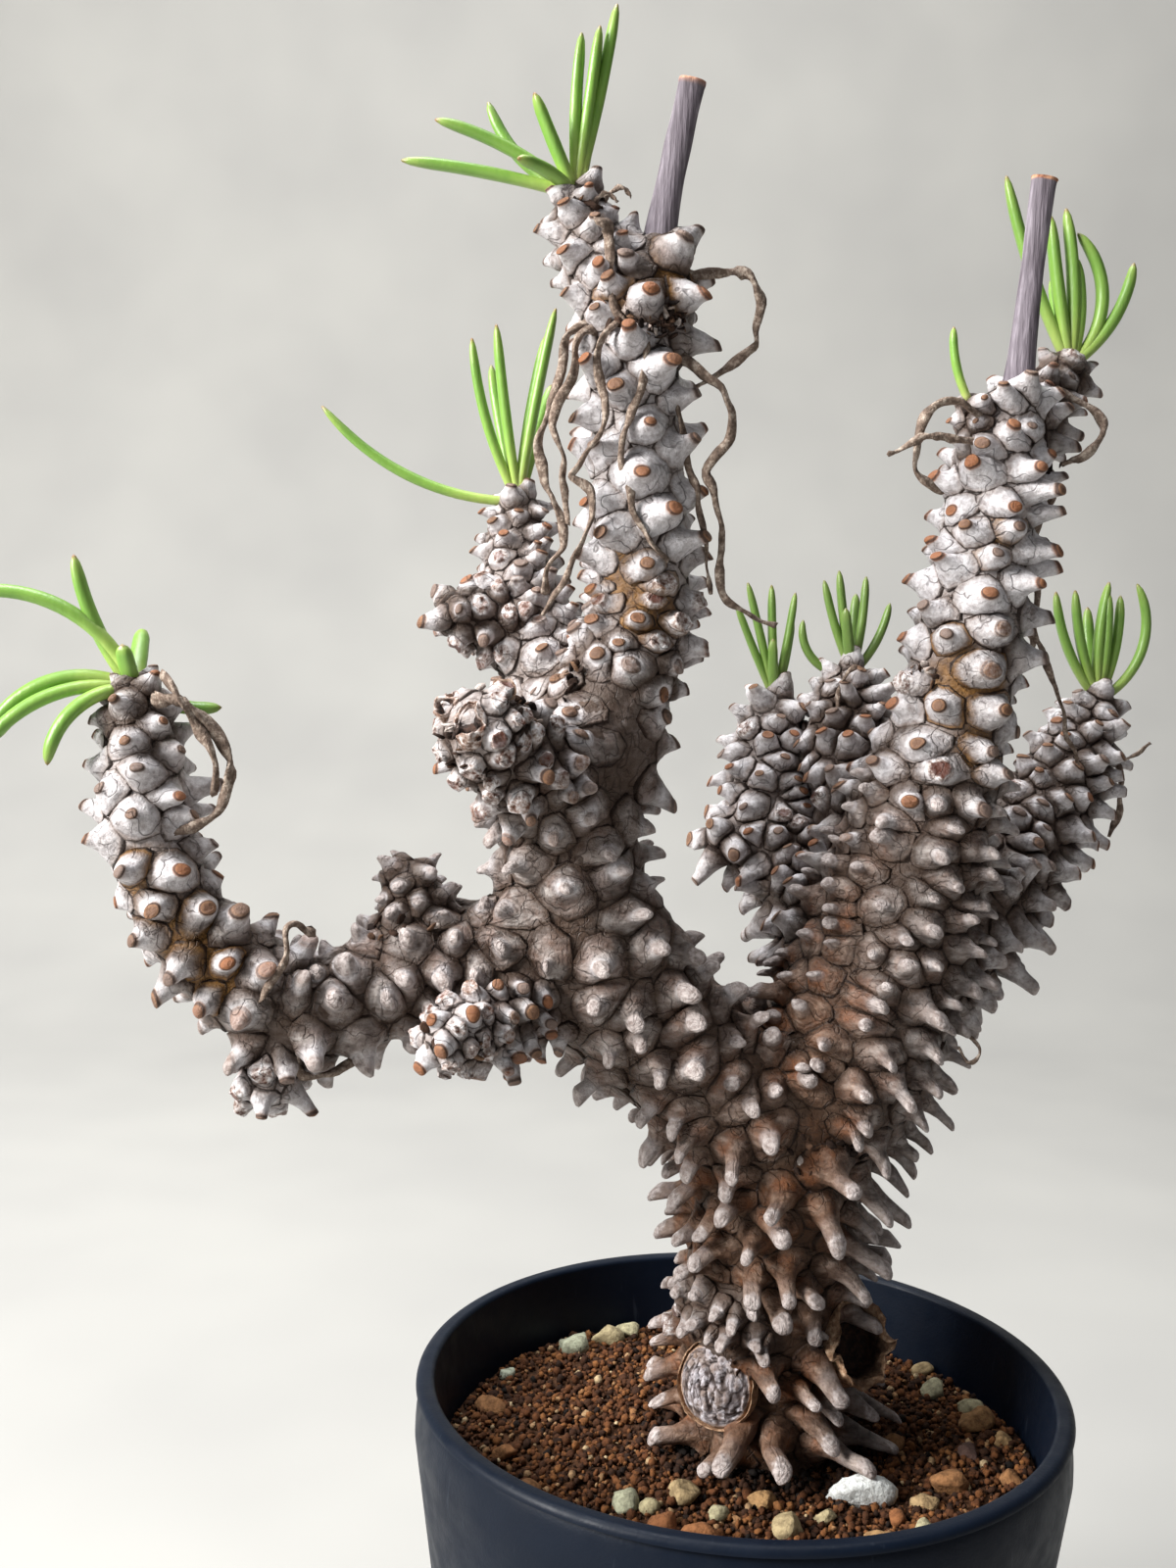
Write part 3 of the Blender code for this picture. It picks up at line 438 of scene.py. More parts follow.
# Stem: one grown body of wood and water-filled bark. The limbs swell where they meet, and old growth
# shows as dark or amber bark in the cracks between the leaf bases; painted shade darkens them further.
# Each limb: points through its middle as (x, y, z, radius) in millimetres.
limbs = {
    "scar_brow": [(2, 0, 103, 9), (-1, -3.5, 106.5, 8.2)],
    "trunk": [(4, 2, 72, 12), (4, 2, 84.8, 12.4), (4, 2, 91, 12.5), (3.5, 1.5, 100, 12.8),
        (3.5, 0.5, 116, 12.5), (5, -1, 130, 12.8), (5.5, -1, 139, 12)],
    "left_limb": [(8, 0, 131, 8), (-1, -3, 140, 12), (-12, -5.5, 149.5, 11.3), (-22, -8, 160, 11),
        (-28, -9.5, 170, 10)],
    "column": [(-24, -8.5, 159, 9), (-29.5, -10, 172, 10.5), (-30, -11, 184, 10), (-28.5, -11, 194, 9.5),
        (-24.5, -11, 204, 8.5), (-21, -11, 213, 7.8), (-20, -11, 221, 6.8), (-21, -12, 230, 7),
        (-21.5, -12, 240, 6.8), (-22.5, -12, 250, 6), (-25, -12, 260, 5.2), (-29, -11, 270, 5),
        (-31, -10.5, 276, 3.6)],
    "crown": [(-22.5, -12, 253, 5.5), (-20.5, -12, 262, 6.2), (-19.5, -11, 268, 4.8)],
    "arm": [(-22, -8, 167, 8.5), (-35, -11, 165.5, 8.7), (-49, -14, 163.5, 8), (-60, -18, 159.5, 7.8),
        (-70, -22, 158, 7.6), (-79, -24, 164.5, 6.6), (-86, -25, 173, 6), (-90, -25, 183, 6),
        (-91, -24, 192, 5.8), (-92.5, -22.5, 202, 4)],
    "spur": [(-24, -9, 196, 6.5), (-33, -1, 206, 7), (-38, 4.5, 216, 6.2), (-40, 8, 225, 5),
        (-40, 10, 233, 3.5)],
    "spur_knob": [(-35, 4, 212, 5), (-43, 0.5, 215, 4.8), (-48, -2, 216.5, 3.6)],
    "dead_knob": [(-30, -12, 188, 8), (-37.5, -23, 195, 7.2), (-42, -30, 199.5, 6)],
    "nub": [(-34, -12, 158, 5.5), (-42, -24, 156.5, 5.2), (-46, -30, 156, 4)],
    "hump": [(-53, -16, 164, 5.5), (-53.5, -14.5, 175.5, 4)],
    "droop": [(-71, -22, 156, 5.2), (-72.5, -25, 148, 4)],
    "right_limb": [(4, -1, 131, 8), (12, -0.5, 144, 13.8), (20, 1.5, 161, 13.2), (24, 3, 176, 11.4),
        (27.5, 2, 192, 9)],
    "riser": [(21, 3, 172, 9.5), (27, 2, 191, 9.6), (30, 0, 205, 8.5), (31.5, -2, 217, 7.8),
        (32.5, -3, 228, 7), (34, -5, 240, 6.2), (35.6, -6.5, 250, 3.9)],
    "fork": [(33, -3, 237, 5), (39.5, 1, 248.5, 4.8), (45, 3, 256, 3.5)],
    "bud": [(33, -5, 240, 4), (28.6, -8, 248.5, 2.3)],
    "east": [(15, 6, 162, 8.5), (9, 18, 173, 7.5), (4.5, 24, 182, 7), (4, 28, 193, 6.2),
        (4.8, 30, 201.5, 4)],
    "east_knob": [(6, 23, 178, 5), (-4, 20, 179.5, 3.6)],
    "far": [(22, 8, 177, 8), (18, 20, 191, 7.4), (17, 26, 201, 6.2), (17.8, 28, 206.5, 3.8)],
    "west": [(22, 5, 160, 9.5), (31, 9, 165, 10.2), (40.5, 18, 173, 9.2), (49, 24, 182, 8),
        (56, 29, 191.5, 6.8), (60, 32, 198.5, 5.4), (62, 33, 203, 3.8)],
}
fillet = 4.5 * mm
crack_depth = 0.3 * mm
core_voxel = 1.25 * mm
core_sides = 20
probe = 0.15 * mm
end_bends = np.radians([20, 40, 60, 78])
# Places where the bark has stretched and its amber inside shows: x, y, z, reach in millimetres
amber_places = np.array([
    (-24, -18, 222, 7), (-18, -18, 217, 6), (30, -8, 207, 9), (33, -8, 198, 7), (-27, -14, 203, 6),
    (-24, -16, 262, 5), (-18, -13, 264, 7), (-84, -30, 170, 7), (33, -8, 230, 5), (-79, -30, 164, 7),
    (-89, -29, 178, 6), (27, -11, 213, 6),
])


def spline(points, per_span=12):
    """A smooth curve through the points: cubics whose end slopes are half the neighbours' chord."""
    rows = np.array([points[0], *points, points[-1]], dtype=float)
    t = np.linspace(0, 1, per_span, endpoint=False)[:, None]
    spans = [b + t / 2 * ((c - a) + t * ((2 * a - 5 * b + 4 * c - d) + t * (3 * (b - c) + d - a)))
             for a, b, c, d in zip(rows, rows[1:], rows[2:], rows[3:])]
    return np.vstack([*spans, rows[-1:]])


curves = {name: spline(points) * mm for name, points in limbs.items()}


def skin_distance(points):
    """How far points lie over the stem: each limb is a chain of balls, and where two limbs meet, the
    smaller distance is lowered by a quarter of the fillet times the square of how alike the two are.
    A long limb's chain takes every second point of its curve."""
    total = None
    for curve in curves.values():
        chain = curve[::2] if len(curve) > 24 else curve
        near = (np.linalg.norm(points[:, None] - chain[None, :, :3], axis=-1) - chain[:, 3]).min(axis=1)
        if total is None:
            total = near
        else:
            alike = np.clip(1 - np.abs(total - near) / fillet, 0, None)
            total = np.minimum(total, near) - alike ** 2 * fillet / 4
    return total


def onto_skin(points, height=0.0, steps=3):
    """Moves points along the distance's slope until they lie at a height over the stem's skin."""
    corners = np.array([(1, -1, -1), (-1, -1, 1), (-1, 1, -1), (1, 1, 1)]) / math.sqrt(3)
    for _ in range(steps):
        values = skin_distance((points[:, None] + corners * probe).reshape(-1, 3)).reshape(-1, 4)
        slope = unit(values @ corners, 1e-12)
        points = points + slope * (height - values.mean(axis=1))[:, None]
    return points, slope


def limb_frames(curve):
    """Along a limb: its length so far, its direction, and two directions across it."""
    step = np.linalg.norm(np.diff(curve[:, :3], axis=0), axis=1)
    along = np.concatenate([[0], np.cumsum(step)])
    way = unit(np.gradient(curve[:, :3], axis=0))
    least = np.eye(3)[np.abs(way.mean(axis=0)).argmin()]
    side = unit(least - way * (way @ least)[:, None])
    return along, way, side, np.cross(way, side)


def limb_tube(curve):
    """A plain closed tube round a limb, with its last end rounded."""
    along, way, side, up = limb_frames(curve)
    end, radius = curve[-1, :3], curve[-1, 3]
    middle = np.concatenate([curve[:, :3], end + way[-1] * radius * np.sin(end_bends)[:, None]])
    girth = np.concatenate([curve[:, 3], radius * np.cos(end_bends)])
    side = np.concatenate([side, np.repeat(side[-1:], len(end_bends), axis=0)])
    up = np.concatenate([up, np.repeat(up[-1:], len(end_bends), axis=0)])
    angle = directions(core_sides)
    out = side[:, None] * np.cos(angle)[None, :, None] + up[:, None] * np.sin(angle)[None, :, None]
    rings = middle[:, None] + out * girth[:, None, None]
    return lofted(rings[None], curve[:1, :3], (end + way[-1] * radius)[None])


def gather(bodies):
    """Several bodies' points and faces as one piece's."""
    points, faces, offset = [], [[], []], 0
    for body_points, body_faces in bodies:
        points.append(body_points)
        for kind in (0, 1):
            faces[kind].append(body_faces[kind] + offset)
        offset += len(body_points)
    return np.concatenate(points), [np.concatenate(kind) for kind in faces]


skin, skin_shader = finish_of("waxy skin", 0.5, 0.45)
tubes = gather([limb_tube(curve) for curve in curves.values()])
core = put("stem_bark", *tubes, skin, "stem", "stem")
remesh = core.modifiers.new("One skin", "REMESH")
remesh.mode = "VOXEL"
remesh.voxel_size = core_voxel
bpy.context.view_layer.update()
one_skin = bpy.data.meshes.new_from_object(core.evaluated_get(bpy.context.evaluated_depsgraph_get()))
core.modifiers.clear()
core.data = one_skin
points = np.empty(len(one_skin.vertices) * 3, np.float32)
one_skin.vertices.foreach_get("co", points)
points, slope = onto_skin(points.reshape(-1, 3).astype(float), -crack_depth, 2)
lumps = 0.3 * mm * cloud(points, 2.2 * mm, 21) + 0.12 * mm * cloud(points, 0.9 * mm, 22)
core_points = points + slope * lumps[:, None]
one_skin.vertices.foreach_set("co", core_points.astype(np.float32).ravel())
one_skin.shade_smooth()
one_skin.materials.clear()
one_skin.materials.append(skin)
one_skin.update()


# Leaf bases: where each old leaf stood, the stem keeps a peg on a plate of waxy skin. They follow each
# other round the limb by the golden angle. Old ones at the foot are long and brown, young ones low and white.
# Each limb, evenly from its start to its end: spacing round it, length, tip radius, whiteness; then the
# spacing along over that round, and how fast a peg widens to its plate (1.6 for a stout one, 2.2 for a
# slim one).
peg_kinds = {
    "scar_brow": ((3.2, 3.6), (2.6, 2.2), (0.95, 0.85), (0.1, 0.2), 0.95, 1.9),
    "trunk": ((6.8, 6.7, 7, 7.2), (8.6, 6.4, 5.6, 5.2), (1.2, 1.15), (-0.12, -0.08, -0.06), 0.74, 2.35),
    "left_limb": ((7, 7.6, 8.4, 8.8), (5, 4, 3.2), (1.2,), (-0.02, 0.14, 0.26), 0.70, 2.3),
    "column": ((9.4, 9.4, 9.6, 9.6, 6.6, 5.2, 9, 7.4, 6.8, 6, 4.2),
        (4.2, 3.8, 2.4, 1.5, 2.4, 2.8, 3, 2.6, 1.8), (1.1, 1.1, 1.3, 1.15, 1.1, 0.8),
        (0.18, 0.24, 0.42, 0.62, 0.85, 0.9, 0.8, 0.6), 0.68, 2.45),
    "crown": ((7.4, 7, 6.4), (3.2, 3), (1.4,), (0.6, 0.5), 0.84, 1.8),
    "arm": ((9, 8.2, 7.4, 7.6, 7.4, 7, 6.6, 4), (2.3, 1.9, 2.2, 2.8, 3, 2.8, 1.8),
        (1.1, 1.25, 1.45, 1.1, 0.7), (0.14, 0.18, 0.22, 0.36, 0.66, 0.85, 0.4), 0.74, 2.45),
    "spur": ((8, 6, 4.6, 3.8), (1.2, 1.6, 1.9, 1.8), (1.05, 0.9), (0.66, 0.76, 0.66), 0.84, 1.9),
    "spur_knob": ((4.4,), (2.4, 2), (1.1,), (0.4, 0.5), 0.9, 1.9),
    "dead_knob": ((6.4, 4.6, 3.4), (2.6, 1.9), (1, 1.15), (0.25, 0.5, 0.85), 0.86, 1.9),
    "nub": ((4.2, 3.6), (2.2, 1.8), (0.95, 1.05), (0.4, 0.85), 0.9, 2),
    "hump": ((4.4, 3.8), (2, 1.7), (0.8,), (0.2, 0.25), 0.86, 1.7),
    "droop": ((4.8, 4.2), (2.4, 2.2), (1.1,), (0.5, 0.9), 0.88, 1.8),
    "right_limb": ((6.8, 6.6, 6.6, 7), (4.8, 3.8, 3.1), (1.05, 1), (-0.08, 0, 0.1, 0.42), 0.72, 2.2),
    "riser": ((7, 7.8, 8.6, 8.2, 7.2, 6.6, 6.6), (3.6, 2.9, 2.7, 2.8, 2.8), (1.15, 1.2, 1.1),
        (0.25, 0.5, 0.72, 0.68, 0.88, 0.88, 0.75), 0.66, 2),
    "fork": ((4.8, 4.2), (2.4, 1.8), (1, 0.9), (0.55, 0.4), 0.88, 1.9),
    "bud": ((3.6,), (1.6, 1.2), (0.6,), (0.6,), 0.95, 2),
    "east": ((6.4, 5.6, 4.6), (5, 3.4), (1.05, 0.9), (0.42, 0.66, 0.8), 0.86, 1.6),
    "east_knob": ((5.4,), (4.4, 3.8), (1.15,), (0.5, 0.7), 0.9, 1.6),
    "far": ((6.2, 5.4, 4.6), (4.6, 3), (1, 0.85), (0.36, 0.66), 0.86, 1.6),
    "west": ((6.8, 6.2, 5.4, 4.6), (4.3, 3.7, 2.9), (1.1, 0.9), (0.14, 0.48, 0.74), 0.82, 1.6),
}
peg_sides = 16
peg_root = 1.5 * mm
packing = 0.93
crowding = 0.56
soil_line = 84.6 * mm
stout = 1.65
# Places with no pegs, such as stretched bark, wounds and stalks: x, y, z, reach in millimetres
bare_places = np.array([
    (-24.2, -18, 222.4, 4.4), (-27.5, -17, 221.5, 3), (-5.8, -9, 96.5, 8.2), (18.5, -5.5, 101.5, 6.8),
    (14, -9.5, 107, 4.6), (9, -13, 104, 3.6), (-44, -33, 201, 4.6), (25, -8, 210, 3.4),
    (-19, -17, 259, 2.6),
])
# Places where the pegs are broken off short, with crumbling white edges
broken_places = np.array([
    (-19, -16, 217, 10), (-42, -27, 199, 15), (-46, -29, 156, 10), (-72, -25, 148, 8), (21, -5, 209, 6),
    (31, -12, 213, 5), (-10, -6, 104, 7), (-43, -2, 214, 9),
])
# Places where the skin is stretched smooth, with few and low pegs
smooth_places = np.array([
    (-27, -17, 203, 10), (-33, -8, 203, 8), (-29, -17, 194, 7), (-21, -19, 205, 11), (-22, -19, 195, 9),
    (-90, -30, 184, 5), (16, -12, 178, 8),
])
# Rings of a peg from its plate's edge inward: how much of the way from tip to edge, and sink in millimetres
peg_spread = np.array([1, 1, 0.975, 0.87, 0.7, 0.5, 0.32, 0.18, 0.075, 0])
peg_sink = np.array([1, 0.1, 0, -0.04, -0.06, -0.06, -0.06, 0, 0, 0])
# Rings over a tip: share of its radius, and height over it for a rounded tip and for a scarred one
tip_spread = np.array([0.88, 0.52])
tip_rounded = np.array([0.34, 0.72, 0.86])
tip_scarred = np.array([0.05, -0.14, -0.18])
# At heights over the foot in millimetres: how far pegs droop, how worn the front ones are, and how much
# longer the lowest ones are
droop_at = ((84, 92, 110, 130, 160, 190, 230, 280), (0.22, 0.3, 0.38, 0.36, 0.2, 0.04, -0.1, -0.12))
worn_at = ((118, 150, 190, 205), (0, 0.3, 0.3, 0))
foot_length_at = ((84, 92, 100), (1.35, 1.15, 1))


def along_limb(values, share):
    """Values that stand evenly along a limb, read at shares of its length."""
    return np.interp(share, np.linspace(0, 1, len(values)), values)


def lay_pegs(name, draw):
    """Places on a limb, by the golden angle, so that each peg has its share of the surface."""
    curve = curves[name]
    spacing, length, tip, white, flat, widening = peg_kinds[name]
    along, way, side, up = limb_frames(curve)
    bend = np.linspace(0, np.pi / 2, 12)[1:]
    end = curve[-1, 3]
    reach = np.concatenate([along, along[-1] + end * bend])
    girth = np.concatenate([curve[:, 3], end * np.cos(bend)])
    dense = girth / (along_limb(spacing, reach / reach[-1]) ** 2 * flat * mm * mm * packing)
    filled = np.concatenate([[0], np.cumsum(np.diff(reach) * (dense[1:] + dense[:-1]) * np.pi)])
    count = int(filled[-1])
    s = np.interp(np.arange(count) + 0.5, filled, reach)
    share = s / reach[-1]
    around = along_limb(spacing, share) * mm
    s += draw.normal(0, 0.12, count) * flat * around
    angle = np.arange(count) * golden_angle + draw.uniform(0, math.tau) + draw.normal(0, 0.15, count)
    over = np.clip((s - along[-1]) / end, 0, np.pi / 2)
    inside = np.minimum(s, along[-1])

    def at(values):
        """The limb's own values at the pegs."""
        return np.stack([np.interp(inside, along, column) for column in values.T], axis=-1)

    ahead = at(way)
    out = at(side) * np.cos(angle)[:, None] + at(up) * np.sin(angle)[:, None]
    out = out * np.cos(over)[:, None] + ahead * np.sin(over)[:, None]
    place = at(curve[:, :3]) + out * np.interp(inside, along, curve[:, 3])[:, None]
    size = np.stack([around, around * flat, along_limb(length, share) * mm, along_limb(tip, share) * mm,
                     np.full(count, widening)], axis=-1)
    return place, ahead, size, along_limb(white, share)


def nearness(points, places):
    """From 1 at a place to 0 at its reach, and the most over all places given as x, y, z, reach."""
    gap = np.linalg.norm(points[:, None] - places[None, :, :3] * mm, axis=-1) / (places[:, 3] * mm)
    return np.clip(1 - gap, 0, None).max(axis=1)


def pick(keep, *arrays):
    """The kept rows of each array."""
    return [array[keep] for array in arrays]


def plate_edges(place, normal, across, ahead, size, vigour, angle):
    """How far each peg's plate reaches in each direction: up to the neighbours', with rounded corners.

    In the plane that touches the skin, the line shared with a neighbour at (a, b) lies at
    (a2 + b2 + c2) / ((1 + its vigour over one's own) (a cos + b sin)) in direction (cos, sin), measured in
    the peg's own spacing, so that a vigorous peg has a wider plate.
    """
    near_count = 16
    farthest = 0.8
    sharpness = 18
    gap = place[None] - place[:, None]
    distance = np.linalg.norm(gap, axis=-1)
    np.fill_diagonal(distance, np.inf)
    order = np.argsort(distance, axis=1)[:, :near_count]
    gap = np.take_along_axis(gap, order[..., None], axis=1)
    wide, tall = size[:, 0], size[:, 1]
    mean = np.sqrt(wide * tall)
    a = (gap * across[:, None]).sum(-1) * (mean / wide)[:, None]
    b = (gap * ahead[:, None]).sum(-1) * (mean / tall)[:, None]
    c = (gap * normal[:, None]).sum(-1)
    toward = a[..., None] * np.cos(angle) + b[..., None] * np.sin(angle)
    contest = 1 + vigour[order] / vigour[:, None]
    inverse = np.clip(contest[..., None] * toward / (a * a + b * b + c * c)[..., None], 0, None)
    limit = np.broadcast_to(1 / (farthest * mean)[:, None, None], (len(place), 1, peg_sides))
    reach = (np.concatenate([inverse, limit], axis=1) ** sharpness).sum(axis=1) ** (-1 / sharpness)
    wide_edge = (wide / mean)[:, None] * reach * np.cos(angle)
    return reach, wide_edge, (tall / mean)[:, None] * reach * np.sin(angle)


def drift(points, size, seed):
    """Smooth random moves: for each axis, heights from -1 to 1 of its own."""
    return np.stack([cloud(points, size, seed + k) for k in range(3)], axis=-1)


draw = np.random.default_rng(5)
laid = [lay_pegs(name, draw) for name in limbs]
owner = np.concatenate([np.full(len(rows[0]), k) for k, rows in enumerate(laid)])
place, ahead, size, white = (np.concatenate(column) for column in zip(*laid))
keep = (skin_distance(place) > -peg_root) & (place[:, 2] > soil_line)
owner, place, ahead, size, white = pick(keep, owner, place, ahead, size, white)
place, normal = onto_skin(place)
gap = np.linalg.norm(place[:, None] - place[None], axis=-1)
mean = np.sqrt(size[:, 0] * size[:, 1])
crowded = (gap < crowding * (mean[:, None] + mean[None]) / 2) & (owner[:, None] > owner[None])
smooth = np.clip(nearness(place, smooth_places) * 2.5, 0, 1)
keep = ~crowded.any(axis=1) & (nearness(place, bare_places) == 0) & (draw.random(len(place)) > 0.45 * smooth)
owner, place, normal, ahead, size, white, smooth = pick(
    keep, owner, place, normal, ahead, size, white, smooth)

# Plates: their edges lie on the skin, a crack's width inside the line shared with the neighbours
ahead = unit(ahead - normal * (ahead * normal).sum(-1, keepdims=True), 1e-9)
across = np.cross(ahead, normal)
count = len(place)
vigour = draw.uniform(0.74, 1.3, count)
angle = directions(peg_sides)
reach, wide, tall = plate_edges(place, normal, across, ahead, size, vigour, angle)
amber = nearness(place, amber_places)
broken = np.clip(nearness(place, broken_places) * 2.2, 0, 1) * (draw.random(count) < 0.8)
broken = np.clip(broken + (draw.random(count) < 0.03) * (white > 0.4), 0, 1)
stubby = size[:, 4] < stout
calm = np.clip((white - 0.12) / 0.3, 0, 1) * ~stubby
crack = -0.04 * mm + 0.16 * mm * np.maximum(broken, stubby)[:, None]
crack = crack + 0.12 * reach * np.clip(amber * 2, 0, 1)[:, None]
shrink = 1 - crack / reach
edge = place[:, None] + across[:, None] * (wide * shrink)[..., None]
edge = edge + ahead[:, None] * (tall * shrink)[..., None]
edge += drift(edge, 2.2 * mm, 51) * 0.4 * mm
edge, _ = onto_skin(edge.reshape(-1, 3), 0.0, 2)
edge = edge.reshape(count, peg_sides, 3)

# Each peg's own length, direction, tip and slant
height = place[:, 2] / mm
mean_reach = reach.mean(axis=1)
droop = np.interp(height, *droop_at)
droop *= draw.uniform(0.6, 1.4, count)
length = size[:, 2] * draw.uniform(0.7, 1.2, count) * (1 - 0.22 * normal[:, 2]) * (1 - 0.45 * broken)
length *= (0.55 + 0.45 * vigour) * (1 + 0.14 * normal[:, 0]) * (1 + 0.3 * calm)
length *= 1 + np.interp(height, *worn_at) * np.minimum(normal[:, 1], 0)
length *= np.where((draw.random(count) < 0.07) & (white > 0.2), 0.4, 1)
length *= np.interp(height, *foot_length_at) * (1 - 0.6 * smooth)
axis = normal - np.array([0, 0, 1]) * droop[:, None] + ahead * 0.08 + draw.normal(0, 0.08, (count, 3))
axis = unit(axis)
lowest = soil_top + 1.2 * mm - place[:, 2]
too_low = axis[:, 2] * length < lowest
axis[too_low, 2] = (lowest / length)[too_low]
axis = unit(axis)
first_side = unit(across - axis * (across * axis).sum(-1, keepdims=True))
second_side = np.cross(axis, first_side)
tip = size[:, 3] * draw.uniform(0.85, 1.12, count) * (0.5 + 0.5 * vigour)
tip = tip * (1 + 0.45 * broken) * (1 - 0.15 * calm)
tip = np.minimum(tip, 0.55 * mean_reach)
widening = size[:, 4] * draw.uniform(0.85, 1.15, count) * (1 - 0.3 * broken)
roundness = np.clip(np.interp(white, (0.3, 0.65), (1, 0.5)) + draw.normal(0, 0.12, count), 0, 1)
roundness = roundness * (1 - 0.6 * broken)
slant = np.interp(white, (0.2, 0.6), (0.75, 0.4)) * draw.uniform(0.6, 1.3, count) * (1 - 0.7 * broken)
tightness = np.interp(size[:, 4], (1.6, 2.2), (1.2, 1.45))

# Rings from the plate's edge to the tip: thorns where the skin is brown, cones where white, domes where stout
tip_share = (tip / mean_reach)[:, None]
fan = tip_share + (1 - tip_share) * peg_spread
thorn = (1 - peg_spread ** (1 / widening[:, None])) ** tightness[:, None]
cone = (1 - peg_spread) ** 2.4
dome = 1 - peg_spread ** 2.2
rise = thorn + (cone - thorn) * calm[:, None] + 0.12 * (dome - thorn) * stubby[:, None]
fan = np.concatenate([fan, tip_share * tip_spread], axis=1)
rise = np.concatenate([rise, np.ones((count, len(tip_spread)))], axis=1)
over_tip = tip_scarred + (tip_rounded - tip_scarred) * roundness[:, None]
lift = np.concatenate([np.zeros((count, len(peg_spread))), over_tip[:, :2] * tip[:, None]], axis=1)
sink = np.concatenate([peg_sink, np.zeros(len(tip_spread))]) * mm
inward = 1 - (fan - tip_share) / (1 - tip_share)
rounding = (np.clip((1.6 + 0.9 * calm[:, None]) * inward - 0.15, 0, 1) ** 1.2)[..., None, None]
circle = first_side[:, None] * np.cos(angle)[None, :, None] * 1.1
circle = circle + second_side[:, None] * np.sin(angle)[None, :, None] * 0.9
plate = (edge - place[:, None])[:, None] * fan[..., None, None]
round_peg = circle[:, None] * (fan * mean_reach[:, None])[..., None, None]
rings = place[:, None, None] + plate * (1 - rounding) + round_peg * rounding
hook = draw.normal(0, 0.10, (count, 3)) + np.array([0, 0, -0.06]) + ahead * 0.06
up_axis = axis[:, None] * (length[:, None] * rise + lift)[..., None]
up_axis = up_axis + hook[:, None] * (length[:, None] * rise ** 2)[..., None]
rings = rings + up_axis[:, :, None] - (normal[:, None] * sink[None, :, None])[:, :, None]
cut = (np.clip(rise - 0.45, 0, None) / 0.55)[..., None] * fan[..., None]
cut = cut * (slant * mean_reach)[:, None, None] * -np.sin(angle)
rings = rings + axis[:, None, None] * cut[..., None]
body = rings[:, 2:]
uneven = (0.16 + 0.26 * (1 - np.clip(white, 0, 1)))[:, None, None, None] * mm
crumble = (0.07 + 0.24 * broken[:, None, None, None] * rise[:, 2:, None, None]) * mm
rings[:, 2:] = body + (drift(body, 2.6 * mm, 31) * uneven + drift(body, 0.8 * mm, 41) * crumble)
peak = rings[:, -1].mean(axis=1) + axis * ((over_tip[:, 2] - over_tip[:, 1]) * tip)[:, None]
root = place - normal * 1.5 * mm


def on_points(shape, values, at_first, at_last):
    """Values on the rings of lofted bodies, with those of the two end points, in the order of the points."""
    flat = np.broadcast_to(values, shape).reshape(shape[0], -1)
    ends = [np.broadcast_to(end, shape[0])[:, None] for end in (at_first, at_last)]
    return np.concatenate([ends[0], flat, ends[1]], axis=1)


steps = len(peg_spread)
tip_old = np.array([0.0] * (steps - 1) + [0.36, 0.6, 0.9])
tip_young = np.array([0.0] * (steps - 2) + [0.28, 0.5, 0.75, 0.95])
shape = rings.shape[:-1]
marks = {
    "border": on_points(shape, (1 - fan)[:, :, None] * reach[:, None, :] / mm, 0.0, 3.0),
    "tip": on_points(shape, (tip_old + (tip_young - tip_old) * calm[:, None])[:, :, None], 0.0, 1.0),
    "rise": on_points(shape, rise[:, :, None], 0.0, 1.0),
    "over": on_points(shape, (length[:, None] * rise)[:, :, None] / mm, 0.0, length / mm),
}
each_peg = {"white": white, "broken": broken, "tone": draw.uniform(0, 1, count), "amber": amber}
for name, values in each_peg.items():
    marks[name] = on_points(shape, values[:, None, None], values, values)


def cells(part, size, warp):
    """Distance to the nearest border in an uneven net of cells, as a share of a cell's width."""
    place = add(part, "TexCoord")["Object"]
    shift = add(part, "TexNoise", {"Vector": place, "Scale": 1 / size, "Detail": 2.0})["Color"]
    feeds = {0: shift, 1: (warp, warp, warp), 2: place}
    bent = add(part, "VectorMath", feeds, operation="MULTIPLY_ADD")["Vector"]
    feeds = {"Vector": bent, "Scale": 1 / size}
    return add(part, "TexVoronoi", feeds, feature="DISTANCE_TO_EDGE")["Distance"]


def reckon(way, first, *others):
    """The first value joined to each of the others in turn, in a way that the shader knows by name."""
    for other in others or (0.0,):
        first = add(first, "Math", {0: first, 1: other}, operation=way)["Value"]
    return first


def plus(*values):
    """The sum of the values."""
    return reckon("ADD", *values)


def minus(first, second):
    """The first value less the second."""
    return reckon("SUBTRACT", first, second)


def times(*values):
    """The product of the values."""
    return reckon("MULTIPLY", *values)


shader = skin_shader
mark = {name: mark_of(shader, name) for name in marks}
broad = speckle(shader, 6 * mm, 4, 0.6)
fine = speckle(shader, 0.9 * mm, 5, 0.65)
grime = speckle(shader, 2.6 * mm, 6, 0.75)
layered = speckle(shader, 1.5 * mm, 4, 0.6, (0.45, 0.45, 1))
fine_swing = minus(fine, 0.5)
contour = between(reckon("ABSOLUTE", minus(speckle(shader, 5 * mm, 2, 0.4), 0.5)), 0.0, 0.014, 1.0, 0.0)
net = between(cells(shader, 2.6 * mm, 2.4 * mm), 0.0, 0.055, 1.0, 0.0)
net = times(net, between(grime, 0.45, 0.6))
# How waxy: the limb's own whiteness, with patches, a tone for each peg, and a paler cap where it is brown
patch = times(minus(broad, 0.5), between(mark["white"], -0.05, 0.35, 0.6, 1.3))
own = times(minus(mark["tone"], 0.5), 0.26)
capped = times(between(mark["rise"], 0.05, 0.7, -0.32, 0.26), between(mark["white"], 0.55, 0.9, 1.0, 0.0))
wax = between(plus(mark["white"], patch, own, capped), 0.0, 1.0)
